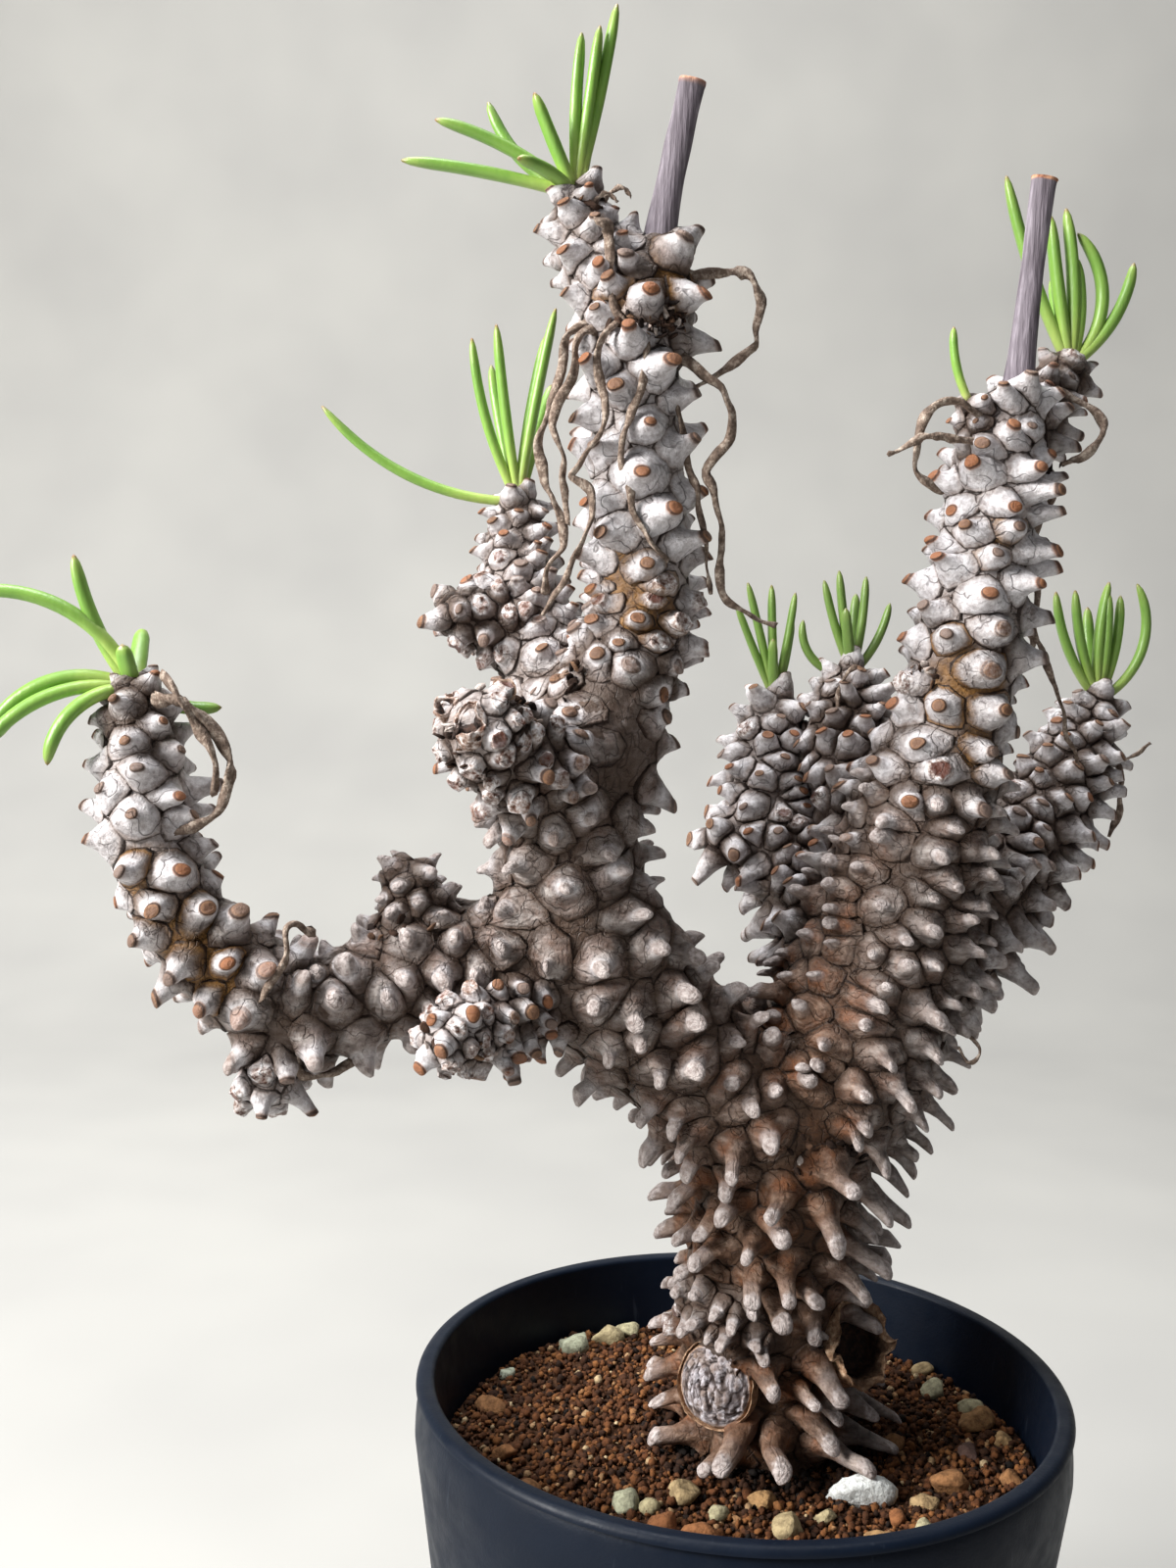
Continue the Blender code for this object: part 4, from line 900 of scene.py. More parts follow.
# Bark under the wax: brown to the left, greyer to the right, rusty low between the pegs
brown = scale_of(layered, (0.28, 56, 41, 33), (0.5, 112, 87, 71), (0.72, 160, 138, 122))
taupe = scale_of(layered, (0.28, 66, 57, 53), (0.5, 130, 120, 115), (0.72, 180, 173, 169))
across_plant = add(shader, "SeparateXYZ", {0: add(shader, "TexCoord")["Object"]})["X"]
right_side = between(across_plant, 8 * mm, 22 * mm)
greyed = reckon("MAXIMUM", between(mark["white"], -0.04, 0.2), right_side)
rusty = times(between(broad, 0.42, 0.64, 0.1, 0.8), between(mark["over"], 0.3, 3.5, 1.0, 0.2),
              between(greyed, 0.0, 1.0, 1.0, 0.35))
rust = scale_of(fine, (0.3, 86, 47, 26), (0.7, 146, 90, 52))
bark = blend(rusty, blend(greyed, brown, taupe), rust)
pale = scale_of(fine, (0.22, 140, 131, 130), (0.42, 194, 189, 191), (0.64, 230, 227, 230))
worn_tip = between(mark["rise"], 0.55, 1.0, 0.0, 0.32)
dirty = times(between(grime, 0.5, 0.66, 0.0, 0.5), between(wax, 0.55, 0.95, 1.0, 0.3))
# Leaf scars: a ringed disc on a young peg, a blunt grey end on an old one
tip_mark = plus(mark["tip"], times(fine_swing, 0.22))
ringed = scale_of(tip_mark, (0.34, 150, 122, 104), (0.43, 80, 54, 40), (0.53, 98, 68, 50),
                  (0.72, 142, 104, 74), (0.92, 108, 76, 54))
ringed = blend(between(mark["tone"], 0.5, 0.9, 0.0, 0.6), ringed, (148, 86, 42))
ringed = blend(between(mark["tone"], 0.1, 0.45, 0.7, 0.0), ringed, (122, 108, 102))
outline = times(between(tip_mark, 0.36, 0.46), between(tip_mark, 0.5, 0.74, 0.8, 0.0))
ringed = blend(outline, ringed, (60, 41, 32))
blunt = blend(between(fine, 0.3, 0.7), (134, 121, 116), (200, 190, 187))
scar = blend(between(mark["white"], 0.28, 0.5), blunt, ringed)
scarred = between(tip_mark, 0.24, 0.42, 0.0, 0.95)
# Broken pegs: crumbs round a dark pit
crumbs = scale_of(fine, (0.38, 86, 52, 40), (0.5, 190, 176, 170), (0.62, 246, 244, 246))
crumbly = times(mark["broken"], between(mark["rise"], 0.25, 0.8, 0.0, 0.95))
pit = times(mark["broken"], between(mark["tip"], 0.55, 0.85), between(mark["tone"], 0.4, 0.75, 0.15, 0.9))
# Cracks between the plates: stained at their borders, with painted shade deep in them, and amber
# where the bark is stretched
ragged = plus(mark["border"], times(fine_swing, 0.6))
stain = between(ragged, 0.1, 0.9, 0.4, 0.0)
# Painted shade: a very dark brown deep in the cracks, weaker where the skin is white
painted_crack_shade = times(between(ragged, 0.1, 1.4, 0.72, 0.0), between(wax, 0.1, 0.7, 1.0, 0.36))
gold = scale_of(speckle(shader, 1.2 * mm, 4, 0.6), (0.3, 80, 50, 20), (0.7, 146, 104, 48))
golden = times(between(mark["amber"], 0.1, 0.5), between(ragged, 0.2, 1.5, 0.9, 0.0))
rim = times(between(ragged, 0.02, 0.28, 1.0, 0.0), between(broad, 0.36, 0.52, 0.62, 1.0))
creased = reckon("MAXIMUM", times(contour, 0.55), times(net, between(wax, 0.4, 0.9, 0.6, 0.22)))
creased = times(creased, between(mark["over"], 0.8, 2.6, 1.0, 0.22))
shade = blend(wax, bark, pale)
# Layers over the bark and wax, in order; the darkest brown, deep in the cracks, is painted shade
for share, over in (
        (worn_tip, (152, 132, 120)), (dirty, (88, 68, 56)), (scarred, scar), (crumbly, crumbs),
        (pit, (88, 50, 40)), (stain, (140, 108, 82)), (painted_crack_shade, (42, 29, 22)), (golden, gold),
        (reckon("MAXIMUM", rim, creased), (48, 34, 27))):
    shade = blend(share, shade, over)
feed(shader, "Base Color", shade)
feed(shader, "Roughness", between(fine, 0.3, 0.8, 0.36, 0.66))
shine = times(between(wax, 0.2, 0.8, 0.22, 0.45), between(scarred, 0.0, 1.0, 1.0, 0.4))
feed(shader, "Specular IOR Level", shine)
growth = reckon("SINE", plus(times(mark["border"], 8.0), times(grime, 14.0)))
folds = plus(times(growth, between(wax, 0.3, 0.9, 0.12, 0.03)), plus(fine, layered), grime)
relief(shader, minus(folds, times(creased, 0.9)), 0.32 * mm)


def from_pegs(points, values, reach=2.2 * mm):
    """Values at points of the stem: the pegs' own, averaged with weights exp(-(distance / reach)2)."""
    found = []
    for block in np.array_split(points, 24):
        weight = np.exp(-((block[:, None] - place[None]) ** 2).sum(-1) / reach ** 2) + 1e-15
        found.append(weight @ values / weight.sum(axis=1))
    return np.concatenate(found)


# The core shows only in the cracks: its border mark gives it the stain and the painted crack shade of a
# plate's edge
mark_points(core.data, {
    "border": 0.3, "tip": 0, "rise": 0, "over": 0, "broken": 0, "tone": 0.4,
    "white": from_pegs(core_points, white), "amber": nearness(core_points, amber_places)})

peg_groups = {
    "pegs_trunk": ["trunk", "left_limb", "scar_brow"],
    "pegs_column": ["column", "crown", "spur", "spur_knob", "dead_knob"],
    "pegs_arm": ["arm", "nub", "hump", "droop"],
    "pegs_right": ["right_limb", "riser", "fork", "bud"],
    "pegs_back": ["east", "east_knob", "far", "west"],
}
limb_names = list(limbs)
for name, members in peg_groups.items():
    chosen = np.isin(owner, [limb_names.index(member) for member in members])
    put(name, *lofted(rings[chosen], root[chosen], peak[chosen]), skin, "stem", "stem",
        {mark: values[chosen] for mark, values in marks.items()})


# Wounds: the round scar of a sawn-off limb with its cracked silvery wood in a collar of bark, a hollow stub
# with a ragged lip, and the broken, hollow end of the dead knob.
# Each: a point inside the limb, the way it faces, how ragged, how hollow, how chalky, and from the limb
# outward (radius, reach) in millimetres.
wounds = {
    "sawn_scar": ((1.6, 2.8, 95.2), (-0.46, -0.88, 0.12), 0.3, 0, 0, [(6.2, 8.5), (6.45, 12), (6.5, 13.6),
        (6.4, 14.2), (6.3, 14.3), (6.2, 14), (6.15, 13.5), (6.05, 13.4), (5.85, 14.1), (5.4, 14.6),
        (4.8, 14.9), (4.1, 15.4), (3.4, 15.8), (2.6, 16), (1.9, 16.2), (1.2, 16.3), (0.5, 16.35)]),
    "hollow_stub": ((10.2, 7, 98.2), (0.5, -0.82, 0.28), 0.95, 1.1, 0, [(7, 6), (6.8, 9), (6.4, 12),
        (6.1, 14.2), (5.9, 15.8), (5.4, 16.6), (4.9, 15.8), (4.6, 14.4), (4.4, 13.2), (3.9, 12.3),
        (3, 11.9), (2, 11.7), (1, 11.6)]),
    "dead_hollow": ((-41.6, -29.2, 198.6), (-0.3, -0.9, 0.3), 0.8, 1, 0.9, [(2.9, 4), (2.8, 6), (2.6, 7.2),
        (2.2, 7.9), (1.9, 7.7), (1.7, 7.2), (1.5, 6.95), (1, 6.85), (0.5, 6.8)]),
    "dead_husk": ((-44.5, -28.5, 201.2), (-0.6, -0.7, 0.38), 0.6, 1, 0.8, [(2, 1), (1.9, 3), (1.75, 4.2),
        (1.45, 4.8), (1.15, 4.5), (0.95, 4), (0.7, 3.7), (0.35, 3.6)]),
    "dead_horn": ((-39.5, -28, 202), (0.05, -0.75, 0.66), 0.5, 1, 0.4, [(1.8, 1), (1.7, 3.2), (1.55, 4.9),
        (1.3, 5.5), (1.05, 5.1), (0.85, 4.5), (0.6, 4.2), (0.3, 4.1)]),
}
wound_sides = 60
# Along the finer curve of the sawn scar: the ring where its collar is highest, and the one where the
# wood starts
collar_ring = 12
wood_ring = 24
lip_rings = 3.0
# Split plates of old wood: how far their heights differ, and how deep and wide the splits are; and how
# fast the painted shade inside a hollow darkens below its lip
plate_lift = 0.7
split_depth = 0.4
split_width = 0.2
hollow_shade_rate = 3.5


def cracked(points, size, seed):
    """Plates of split wood: for scattered sites, how much nearer the nearest one is than the next, and a
    height of its own for each site's plate."""
    draw = np.random.default_rng(seed)
    flat = points.reshape(-1, 3)
    low, high = flat.min(axis=0), flat.max(axis=0)
    sites = draw.uniform(low, high, (int(np.prod((high - low) / size + 1)), 3))
    far = np.linalg.norm(flat[:, None] - sites[None], axis=-1)
    order = np.argsort(far, axis=1)[:, :2]
    two = np.take_along_axis(far, order, axis=1)
    own_height = draw.random(len(sites))[order[:, 0]]
    return [values.reshape(points.shape[:-1]) for values in ((two[:, 1] - two[:, 0]) / size, own_height)]


wound_finish, shader = finish_of("wood of old wounds", 0.75, 0.3)
mark = {name: mark_of(shader, name) for name in ("split", "silver", "hollow", "chalk")}
fine = speckle(shader, 0.8 * mm, 5, 0.65)
torn_bark = scale_of(fine, (0.3, 92, 66, 50), (0.5, 156, 122, 94), (0.7, 204, 176, 148))
silver = scale_of(fine, (0.3, 104, 94, 94), (0.5, 172, 165, 169), (0.68, 226, 223, 230))
silver = blend(between(speckle(shader, 3 * mm, 3), 0.46, 0.64, 0.0, 0.7), silver, (128, 106, 90))
chalk = scale_of(fine, (0.38, 84, 50, 34), (0.5, 160, 140, 130), (0.66, 222, 216, 215))
wood = blend(mark["silver"], blend(mark["chalk"], torn_bark, chalk), silver)
wood = blend(times(between(mark["split"], 0.0, 0.22, 1.0, 0.0), mark["silver"]), wood, (52, 40, 36))
# Painted shade inside a hollow: dark browns, deepening below the lip
wood = blend(mark["hollow"], wood, blend(between(fine, 0.35, 0.7), (24, 16, 13), (70, 46, 34)))
feed(shader, "Base Color", wood)
relief(shader, fine, 0.3 * mm)
for name, (middle, facing, ragged, hollow, chalky, profile) in wounds.items():
    facing = unit(np.array(facing))
    side = unit(np.cross(facing, [0, 0, 1.0]))
    upward = np.cross(side, facing)
    profile = spline([(*row, 0, 0) for row in profile], 3)[:, :2] * mm
    angle = directions(wound_sides)
    ring = side[None] * np.cos(angle)[:, None] + upward[None] * 1.1 * np.sin(angle)[:, None]
    middle = np.array(middle) * mm
    rings = middle + ring[None] * profile[:, 0, None, None] + facing * profile[:, 1, None, None]
    row = np.arange(len(profile))[:, None]
    top = np.argmax(profile[:, 1]) if hollow else collar_ring
    lip = np.exp(-((row - top) / lip_rings) ** 2)[..., None]
    rough = (drift(rings, 5 * mm, 76) * hollow + drift(rings, 2.2 * mm, 80)
             + 0.5 * drift(rings, 0.9 * mm, 84))
    rings = rings + rough * ragged * mm * (0.45 + lip)
    split, own_height = cracked(rings * np.array([1.2, 1.2, 0.4]), 1.15 * mm, 9)
    disc = np.clip((row - wood_ring) / 3, 0, 1) * (hollow == 0)
    wood_relief = disc * (plate_lift * own_height - plate_lift / 2 - split_depth * (split < split_width))
    rings = rings + facing * wood_relief[..., None] * mm
    # The hollow mark is painted shade, growing from the lip inward
    depth = np.clip((row - top) / (len(profile) - top) * hollow_shade_rate, 0, 1) * (hollow > 0)
    shape = rings[None, ..., 0].shape
    put(name, *lofted(rings[None], (middle + facing * profile[0, 1])[None], rings[-1].mean(axis=0)[None]),
        wound_finish, "stem", "stem",
        {"split": on_points(shape, split, 1, 1), "silver": on_points(shape, disc, 0, hollow == 0),
         "hollow": on_points(shape, depth, 0, hollow > 0), "chalk": chalky})


# Dry scraps: flakes of old bark and of dead leaf bases, dark and brittle, which have come loose and still
# cling to the stem where pegs or leaves broke off.
# Each heap: x, y, z, spread in millimetres, and how many.
scraps = [
    (-19, -18.5, 258.5, 3.2, 70), (-42, -31, 200, 3.6, 46), (-32, -19, 209, 1.8, 14),
    (22, -6, 209, 2.4, 16), (0, -8, 101, 3.5, 18), (14, -10, 104, 3, 16), (-55, -19, 168, 2.6, 10),
    (-46, -30, 156, 3, 14), (-30, -13, 275, 1.6, 10), (9, -12, 136, 3, 16), (40, -4, 240, 2, 10),
]
heap_shape = np.array([1, 0.7, 0.45])
draw = np.random.default_rng(23)
spots = np.concatenate([
    np.array([x, y, z]) * mm + draw.normal(0, 1, (many, 3)) * spread * mm * heap_shape
    for x, y, z, spread, many in scraps])
spots, _ = onto_skin(spots, 0.5 * mm, 3)
scrap_sizes = draw.uniform(0.5, 1.25, (len(spots), 1)) * np.array([1.0, 0.65, 0.22]) * mm
(points, faces), each = pebbles(scrap_sizes, spots, turns(len(spots), draw), 3, 7, 3, draw)
points += drift(points, 0.9 * mm, 95) * 0.3 * mm
scrap_finish = stone_finish("dry scraps", 0.5 * mm, (0, 34, 25, 22), (0.45, 78, 56, 44), (0.75, 140, 108, 84),
                            (1, 206, 196, 190))
put("dry_scraps", points, faces, scrap_finish, "stem", "stem",
    {"shade": np.repeat(draw.random(len(spots)) ** 1.6, each)})


# Withered leaves: last year's leaves, dried to thin, brittle, twisted threads. They still hang where they
# grew, at the ends of the limbs and down their sides.
# Each: thickness, then points from its root in millimetres.
threads = [
    (1.6, [(-26, -13, 259), (-32, -16, 257), (-33, -17, 251), (-35, -17, 244), (-36, -16.5, 239),
        (-33.5, -17, 233), (-31.5, -17, 227.5), (-34, -16, 223), (-34.5, -15, 219)]),
    (1.4, [(-25, -14, 257), (-30.5, -18, 256), (-31.5, -19, 250), (-34, -19, 244), (-32.5, -19, 239),
        (-32.5, -18.5, 235), (-31, -18, 229)]),
    (1.3, [(-24, -15, 259), (-25.5, -19, 257), (-27.5, -20, 253), (-26.5, -20, 247), (-27, -20, 241.5),
        (-31, -20, 236), (-28, -20, 233.5), (-28.5, -20, 227.5), (-31.5, -19, 222), (-35, -17, 216)]),
    (1.4, [(-21, -15, 257), (-20.5, -19, 254.5), (-21.5, -20, 247.5), (-24, -20, 241.5), (-23, -20, 234.5),
        (-20.5, -19.5, 228.5), (-16.5, -18.5, 224.5)]),
    (1.6, [(-30, -13, 274), (-28.5, -17, 273), (-26.5, -18, 271), (-26, -18, 265), (-25.5, -18.5, 259.5),
        (-23, -18.5, 256.5)]),
    (1.5, [(-19, -13, 256), (-10.5, -17, 250), (-8.5, -17, 243), (-11.5, -17, 237), (-9, -15, 229),
        (-8.6, -14, 221), (-4.5, -13, 217), (0, -12, 215.5)]),
    (1.1, [(-18, -13, 254), (-15.5, -16, 245.5), (-13.5, -16, 236), (-12.5, -15.5, 232), (-11, -15, 226),
        (-10, -15, 220)]),
    (1.5, [(-19, -12, 265), (-8, -13, 266.5), (-4.4, -13, 263), (-4.6, -13, 257), (-9.5, -13, 252),
        (-13.5, -12, 250)]),
    (1.9, [(-89, -26, 203), (-84, -28.5, 203), (-79, -28, 197), (-77.5, -28, 191), (-81, -28, 186),
        (-88, -29, 184)]),
    (1.5, [(-88, -27, 206), (-84.5, -29, 203.5), (-81.5, -29, 198.5), (-79.5, -28.5, 194),
        (-80.5, -27, 189)]),
    (1.5, [(32, -8, 246), (26, -12.5, 249), (21, -13, 247), (19.5, -12, 240), (21.5, -11, 237),
        (24, -10, 236)]),
    (1.4, [(33, -9, 243), (25, -13, 243.5), (20, -14, 243.5), (15, -14, 241)]),
    (1.4, [(42, -3, 253), (48, -4, 249.5), (49, -4.5, 246), (46.5, -5, 242.5), (43, -5, 241.5)]),
    (1.7, [(36, -2, 243), (44, 3, 238.5), (42.5, 5, 232), (41.5, 8, 222), (44, 10, 214), (40.5, 12, 209),
        (33, 12, 207)]),
    (1.2, [(38, -3, 238), (42, 2, 229), (43.5, 6, 216), (50, 12, 204.5), (55, 16, 194)]),
    (1.4, [(61, 31, 200), (66, 30, 194), (66.5, 29, 187), (64, 28, 181)]),
    (0.9, [(62, 29, 196), (65.5, 27, 195), (69.5, 25, 198)]),
    (1.4, [(-49.5, -14, 160), (-58, -20, 152), (-66, -27, 149.5), (-68, -28, 156)]),
    (1.3, [(-66, -24, 170), (-69.5, -29, 171), (-69.5, -30.5, 166), (-73, -31, 160.5)]),
    (1, [(17, 16, 210), (15, 19, 207), (15, 19.5, 201.5), (13, 19, 198.5)]),
    (0.7, [(30, -6, 153.5), (33, -9, 153), (34, -9.5, 151), (32.5, -9, 149.5), (31, -8, 151.5)]),
    (0.8, [(-28, -12, 275), (-25.5, -13.5, 278), (-23.5, -13.5, 276.5)]),
    (0.8, [(-29, -14, 275), (-27, -15, 277), (-25.5, -15, 275.5)]),
]
thread_sides = 8


def ringed_path(path, side, up, a, b):
    """Rings round a path: at each point, a along one direction across it and b along the other."""
    return path[:, None] + side[:, None] * a[..., None] + up[:, None] * b[..., None]


def carried(path, radius, around, flatten, twist, ribs):
    """A closed body along a path: an ellipse that turns as it goes, its radius rippled by three ribs."""
    way = unit(np.gradient(path, axis=0))
    side = unit(np.cross(way, np.eye(3)[np.abs(way.mean(axis=0)).argmin()]))
    angle = directions(around)
    wide = np.cos(angle) * radius[:, None] * (1 + ribs * np.cos(3 * angle))
    tall = np.sin(angle) * radius[:, None] * flatten * (1 + ribs * np.cos(3 * angle))
    spin = twist * np.linspace(0, 1, len(path))[:, None]
    a = wide * np.cos(spin) - tall * np.sin(spin)
    b = wide * np.sin(spin) + tall * np.cos(spin)
    rings = ringed_path(path, side, np.cross(way, side), a, b)
    return lofted(rings[None, 1:-1], path[:1], path[-1:])


dry, shader = finish_of("dry leaf thread", 0.85, 0.2)
grain = speckle(shader, 1.2 * mm, 5, 0.7)
feed(shader, "Base Color", scale_of(grain, (0.25, 52, 41, 36), (0.5, 122, 105, 93), (0.7, 196, 182, 168)))
relief(shader, speckle(shader, 0.4 * mm, 3), 0.3 * mm)
draw = np.random.default_rng(17)
bodies = []
for thickness, points in threads:
    path = spline(points, 9) * mm
    path[1:-1] += drift(path[1:-1], 3.5 * mm, 60) * 0.7 * mm
    share = np.linspace(0, 1, len(path))
    radius = thickness * mm / 2 * (1.12 - 0.45 * share ** 2) * (1 + 0.35 * cloud(path, 1.8 * mm, 70))
    bodies.append(carried(path, radius, thread_sides, 0.6, draw.uniform(6, 14), 0.15))
put("withered_leaves", *gather(bodies), dry, "stem", "stem")


# Leaves: soft, round, finger-like green leaves in a tuft on each living tip, a little grooved above,
# yellower where they leave the stem and with a tiny dry point at the end.
# Each tuft: the limb, a width, how far its green is dulled and darkened, and its leaves as compass
# direction, lean at root and tip, and length.
tufts = {
    "leaves_arm": ("arm", 1.08, 0, [(180, 40, 10, 21), (185, 20, 115, 34), (190, 62, 165, 26),
        (170, 70, 150, 25), (200, 78, 158, 27), (215, 85, 175, 18), (12, 122, 80, 12.5), (250, 30, 20, 7),
        (100, 45, 60, 14)]),
    "leaves_spur": ("spur", 0.88, 0, [(182, 92, 40, 36), (185, 30, 5, 27), (200, 12, 6, 28),
        (350, 8, 12, 31), (20, 5, 12, 27), (60, 22, 28, 22), (130, 25, 15, 24)]),
    "leaves_column": ("column", 0.95, 0, [(180, 75, 86, 26), (185, 52, 78, 23), (160, 70, 20, 21),
        (210, 32, 26, 15), (180, 5, -6, 23), (350, 8, 6, 24), (10, 14, 8, 28), (225, 62, 92, 12),
        (80, 40, 30, 16)]),
    "leaves_fork": ("fork", 1, 0.15, [(175, 28, 14, 31), (190, 14, 8, 23), (10, 5, -14, 24),
        (5, 50, -48, 23), (20, 18, -18, 17), (0, 55, 5, 19), (95, 35, 25, 18)]),
    "leaves_bud": ("bud", 0.7, 0, [(180, 30, -2, 11)]),
    "leaves_east": ("east", 0.76, 0.4, [(180, 26, 22, 18), (190, 15, 16, 21), (200, 6, 2, 20),
        (0, 12, 6, 19), (60, 32, 15, 16), (250, 25, 5, 11)]),
    "leaves_far": ("far", 0.8, 0.55, [(180, 26, 12, 17), (190, 14, 6, 18), (5, 12, 0, 17), (0, 44, 8, 14),
        (240, 28, 14, 12), (185, 100, -10, 15), (80, 30, 10, 15)]),
    "leaves_west": ("west", 0.9, 0.25, [(180, 42, 6, 21), (185, 26, 4, 20), (200, 8, -14, 21),
        (350, 10, -4, 19), (10, 24, -4, 19), (0, 62, -30, 24), (95, 35, 10, 18)]),
}
leaf_radius = 1.25 * mm
leaf_root = 1.8 * mm
leaf_steps = 22
leaf_sides = 12
# Share of a leaf's length, and its girth there
leaf_girth = ((0, 0.12, 0.5, 0.85, 0.95, 1), (0.85, 0.92, 1, 0.9, 0.66, 0.25))


def limb_end(name):
    """A limb's last point and the way it points there."""
    curve = curves[name]
    return curve[-1, :3], unit(curve[-1, :3] - curve[-4, :3])


def leaf_body(root, leaf, width):
    """A leaf: its lean turns evenly from root to tip, and its round section has a shallow groove above."""
    compass, root_lean, tip_lean, length = leaf
    share = np.linspace(0, 1, leaf_steps) ** 0.9
    lean = np.radians(root_lean + (tip_lean - root_lean) * share)
    level = np.array([math.cos(math.radians(compass)), math.sin(math.radians(compass)), 0])
    step = level * np.sin(lean)[:, None] + np.array([0, 0, 1]) * np.cos(lean)[:, None]
    gone = np.cumsum((step[1:] + step[:-1]) / 2 * np.diff(share)[:, None], axis=0)
    path = root + np.concatenate([[[0, 0, 0]], gone]) * length * mm
    side = np.broadcast_to(np.array([-level[1], level[0], 0]), step.shape)
    radius = leaf_radius * width * np.interp(share, *leaf_girth)
    angle = directions(leaf_sides)
    groove = 1 - 0.22 * np.clip(np.sin(angle), 0, 1) ** 4
    a = np.cos(angle) * radius[:, None]
    b = np.sin(angle) * groove * radius[:, None] * 0.86
    rings = ringed_path(path, side, np.cross(side, step), a, b)[None, :, ::-1]
    end = path[-1:] + step[-1:] * radius[-1] * 0.8
    along = on_points(rings.shape[:-1], share[:, None], 0, 1)
    return lofted(rings, path[:1] - step[:1] * 0.3 * mm, end), along


green, shader = finish_of("fresh leaf skin", 0.38, 0.5)
mottle = speckle(shader, 3 * mm, 3, 0.5, (1, 1, 0.5))
shade = scale_of(mark_of(shader, "along"), (0, 204, 206, 134), (0.12, 166, 188, 96), (0.4, 130, 170, 74),
                 (0.8, 116, 158, 66), (0.965, 138, 164, 78), (1, 128, 92, 52))
shade = blend(between(mottle, 0.35, 0.7, 0.0, 0.35), shade, (92, 138, 56))
# Some tufts get a duller, darker green, by how far each is dulled
feed(shader, "Base Color", blend(mark_of(shader, "older"), shade, (96, 112, 62)))
shader.inputs["Subsurface Weight"].default_value = 0.12
shader.inputs["Subsurface Radius"].default_value = (0.6, 1.0, 0.25)
shader.inputs["Subsurface Scale"].default_value = 1.2 * mm
relief(shader, speckle(shader, 0.5 * mm, 2, 0.5, (1, 1, 0.3)), 0.06 * mm)
for name, (limb, width, older, leaves) in tufts.items():
    end, way = limb_end(limb)
    bodies, along = zip(*[leaf_body(end + way * leaf_root, leaf, width) for leaf in leaves])
    put(name + "_fine", *gather(bodies), green, "leaf", name,
        {"along": np.concatenate(along), "older": older})


# Flower stalks: last year's, cut off above the tips and dried. Ridged and grey purple, with small scars
# and a torn, paler top.
# Each: the limb, the share of its length where it is torn, and its points as x, y, z, radius in millimetres.
stalks = {
    "flower_stalk_left": ("crown", 0.94, [(-18.2, -11, 277, 2.15), (-16.6, -11, 286, 1.95),
        (-14.9, -11.5, 294.5, 1.95)]),
    "flower_stalk_right": ("riser", 0.86, [(35.9, -7.3, 257, 2), (36.8, -7, 269, 1.75),
        (37.7, -7, 280.5, 1.8), (38, -7, 283, 1.95)]),
}
stalk_sides = 24
stalk_foot = 2.7
# The gap between a limb's end and its stalk in millimetres, and the share over which it turns torn
stalk_gap = 0.3
torn_fade = 0.03
stalk_finish, shader = finish_of("dry stalk", 0.7, 0.35)
streaks = speckle(shader, 0.8 * mm, 4, 0.6, (1, 1, 0.08))
grey_purple = scale_of(streaks, (0.3, 78, 70, 77), (0.52, 112, 104, 112), (0.72, 150, 142, 150))
torn_wood = scale_of(speckle(shader, 1 * mm, 4, 0.6), (0.35, 128, 76, 54), (0.65, 206, 156, 124))
feed(shader, "Base Color", blend(mark_of(shader, "torn"), grey_purple, torn_wood))
relief(shader, streaks, 0.4 * mm)
for name, (limb, torn_from, points) in stalks.items():
    end, way = limb_end(limb)
    path = spline([(*(end / mm + way * stalk_gap), stalk_foot), *points], 14)
    radius = path[:, 3] * mm * (1 + 0.05 * cloud(path[:, :3] * mm, 5 * mm, 90))
    radius[-3:] *= (1.04, 1.0, 0.5)
    share = np.linspace(0, 1, len(path))[1:-1]
    along = on_points((1, len(share), stalk_sides), share[:, None], 0, 1)
    torn = np.clip((along - torn_from) / torn_fade, 0, 1)
    put(name + "_fine", *carried(path[:, :3] * mm, radius, stalk_sides, 1.0, 0.5, 0.06), stalk_finish,
        "dry_stalk", name, {"torn": torn})


# Studio: a plain pale sweep of paper under and behind the plant, a large soft light from the upper left and
# front, weak ones from above, from the right and on the paper, and the camera where the picture was taken.
studio_width = 3.0
floor_front = -1.2
wall_start = 0.55
wall_round = 0.5
wall_top = 1.9


def sweep_sheet():
    """A floor that turns up into a wall through a quarter circle."""
    bend = np.radians(np.linspace(-90, 0, 24))
    curve = wall_round * np.stack([np.cos(bend), 1 + np.sin(bend)], axis=-1)
    curve = curve + np.array([wall_start, 0])
    line = np.concatenate([[[floor_front, 0]], curve, [[wall_start + wall_round, wall_top]]])
    x = np.linspace(-studio_width / 2, studio_width / 2, 3)
    points = np.array([(across, *row) for row in line for across in x])
    corner = (np.arange(len(line) - 1)[:, None] * 3 + np.arange(2)).ravel()
    return points, np.stack([corner, corner + 1, corner + 4, corner + 3], axis=-1)


points, faces = sweep_sheet()
mesh = bpy.data.meshes.new("pale_sweep")
mesh.from_pydata(points.tolist(), [], faces.tolist())
mesh.shade_smooth()
paper, shader = finish_of("pale paper", 0.9, 0.1)
feed(shader, "Base Color", scale_of(speckle(shader, 120 * mm, 2), (0.3, 164, 163, 160), (0.7, 173, 172, 168)))
mesh.materials.append(paper)
sheet = bpy.data.objects.new("pale_sweep", mesh)
bpy.context.scene.collection.objects.link(sheet)


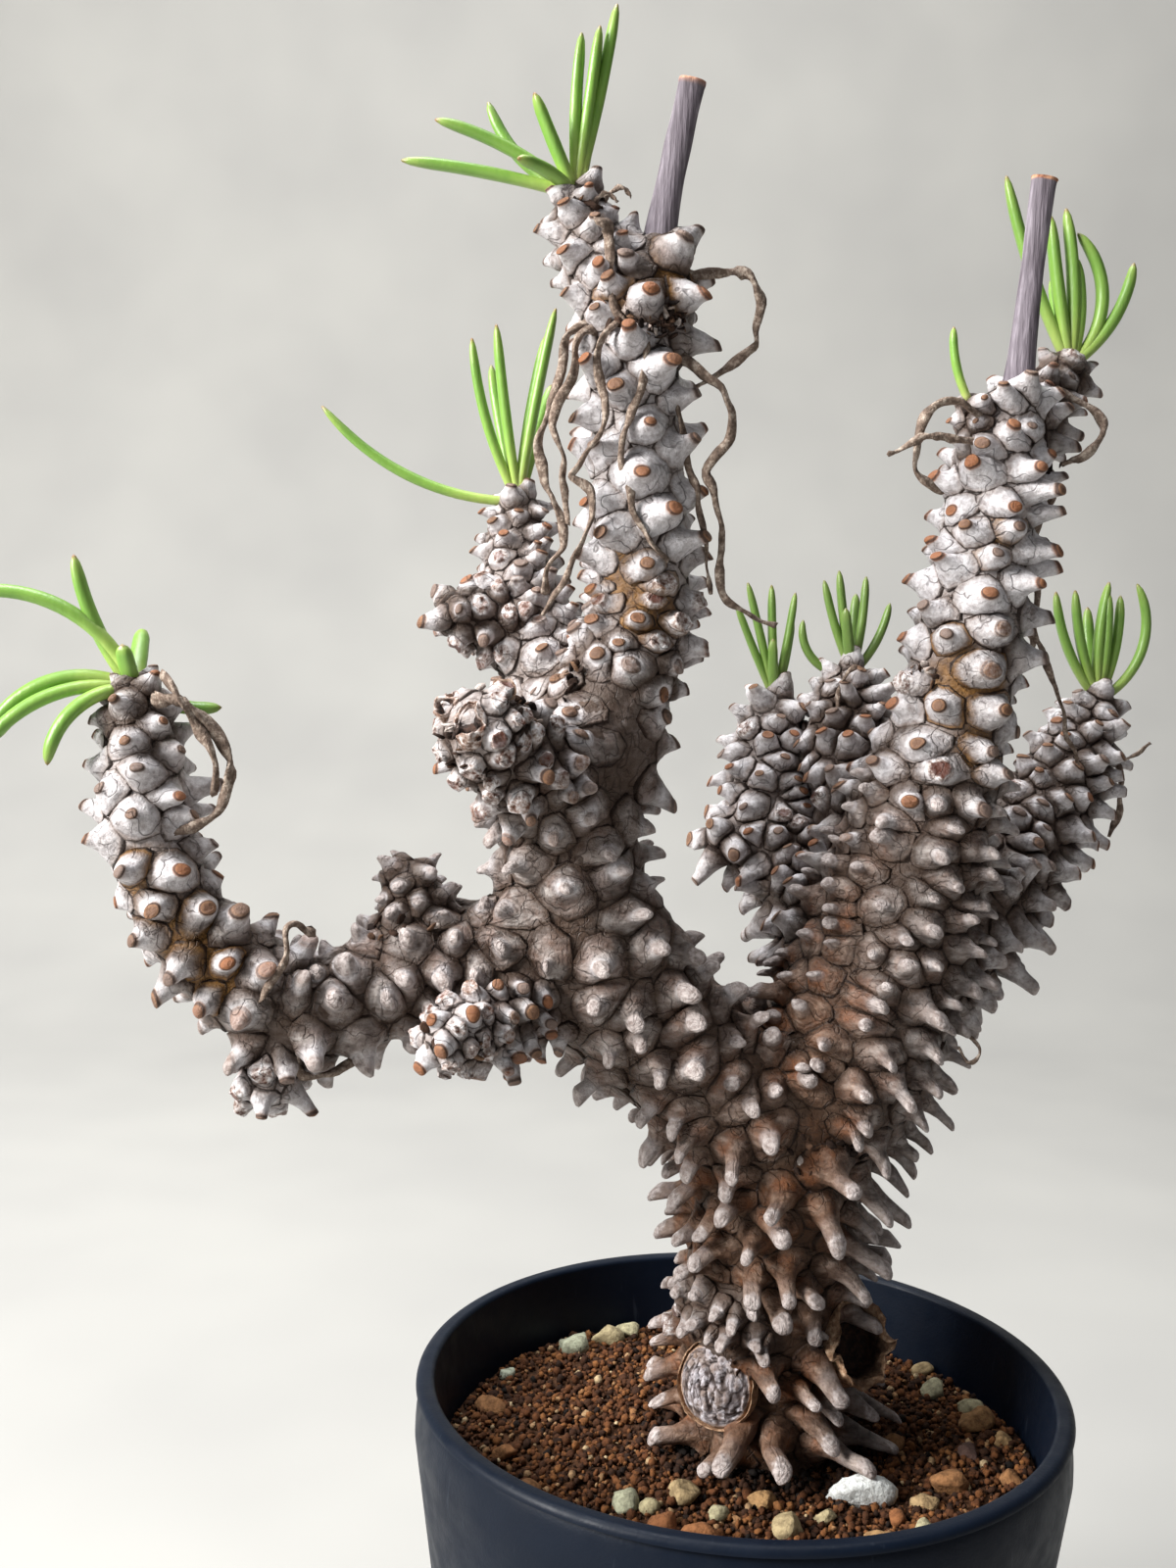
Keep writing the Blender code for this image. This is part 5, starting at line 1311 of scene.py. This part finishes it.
def soft_light(name, place, target, size, power, shade):
    """A square area light that looks at a target."""
    data = bpy.data.lights.new(name, "AREA")
    data.shape = "SQUARE"
    data.size = size
    data.energy = power
    data.color = shade
    lamp = bpy.data.objects.new(name, data)
    lamp.location = place
    way = np.array(target) - np.array(place)
    lamp.rotation_euler = (math.atan2(math.hypot(way[0], way[1]), -way[2]), 0, math.atan2(-way[0], way[1]))
    bpy.context.scene.collection.objects.link(lamp)


plant_middle = (-0.01, 0, 0.18)
soft_light("window light", (-0.95, -0.4, 0.7), plant_middle, 0.5, 33, (1.0, 0.985, 0.96))
soft_light("top light", (-0.3, 0.1, 1.1), plant_middle, 0.5, 10, (0.95, 0.97, 1.0))
soft_light("fill light", (0.3, -1.1, 0.35), plant_middle, 0.8, 0.6, (0.95, 0.97, 1.0))
soft_light("wall light", (0.0, 0.3, 1.4), (0, 1.0, 0.4), 1.0, 8, (1.0, 0.99, 0.97))
world = bpy.data.worlds.new("studio air")
world.use_nodes = True
world.node_tree.nodes["Background"].inputs["Color"].default_value = (0.9, 0.93, 1.0, 1)
world.node_tree.nodes["Background"].inputs["Strength"].default_value = 0.10
bpy.context.scene.world = world
bpy.context.scene.view_settings.view_transform = "Standard"

focal_pixels = 1650
picture_height = 1600
film = 36
camera_place = (-27.4 * mm, -254.4 * mm, 211.7 * mm)
camera_pitch = math.radians(4.85)
camera_roll = math.radians(1.58)
camera_data = bpy.data.cameras.new("camera")
camera_data.sensor_width = film
camera_data.lens = focal_pixels / picture_height * film
camera = bpy.data.objects.new("camera", camera_data)
camera.location = camera_place
bpy.context.scene.collection.objects.link(camera)
ahead = np.array([0, math.cos(camera_pitch), -math.sin(camera_pitch)])
level_right = np.array([1.0, 0, 0])
level_up = np.cross(level_right, ahead)
right = level_right * math.cos(camera_roll) + level_up * math.sin(camera_roll)
upward = np.cross(right, ahead)
camera.rotation_euler = Matrix(np.stack([right, upward, -ahead], axis=1).tolist()).to_euler()
bpy.context.scene.camera = camera
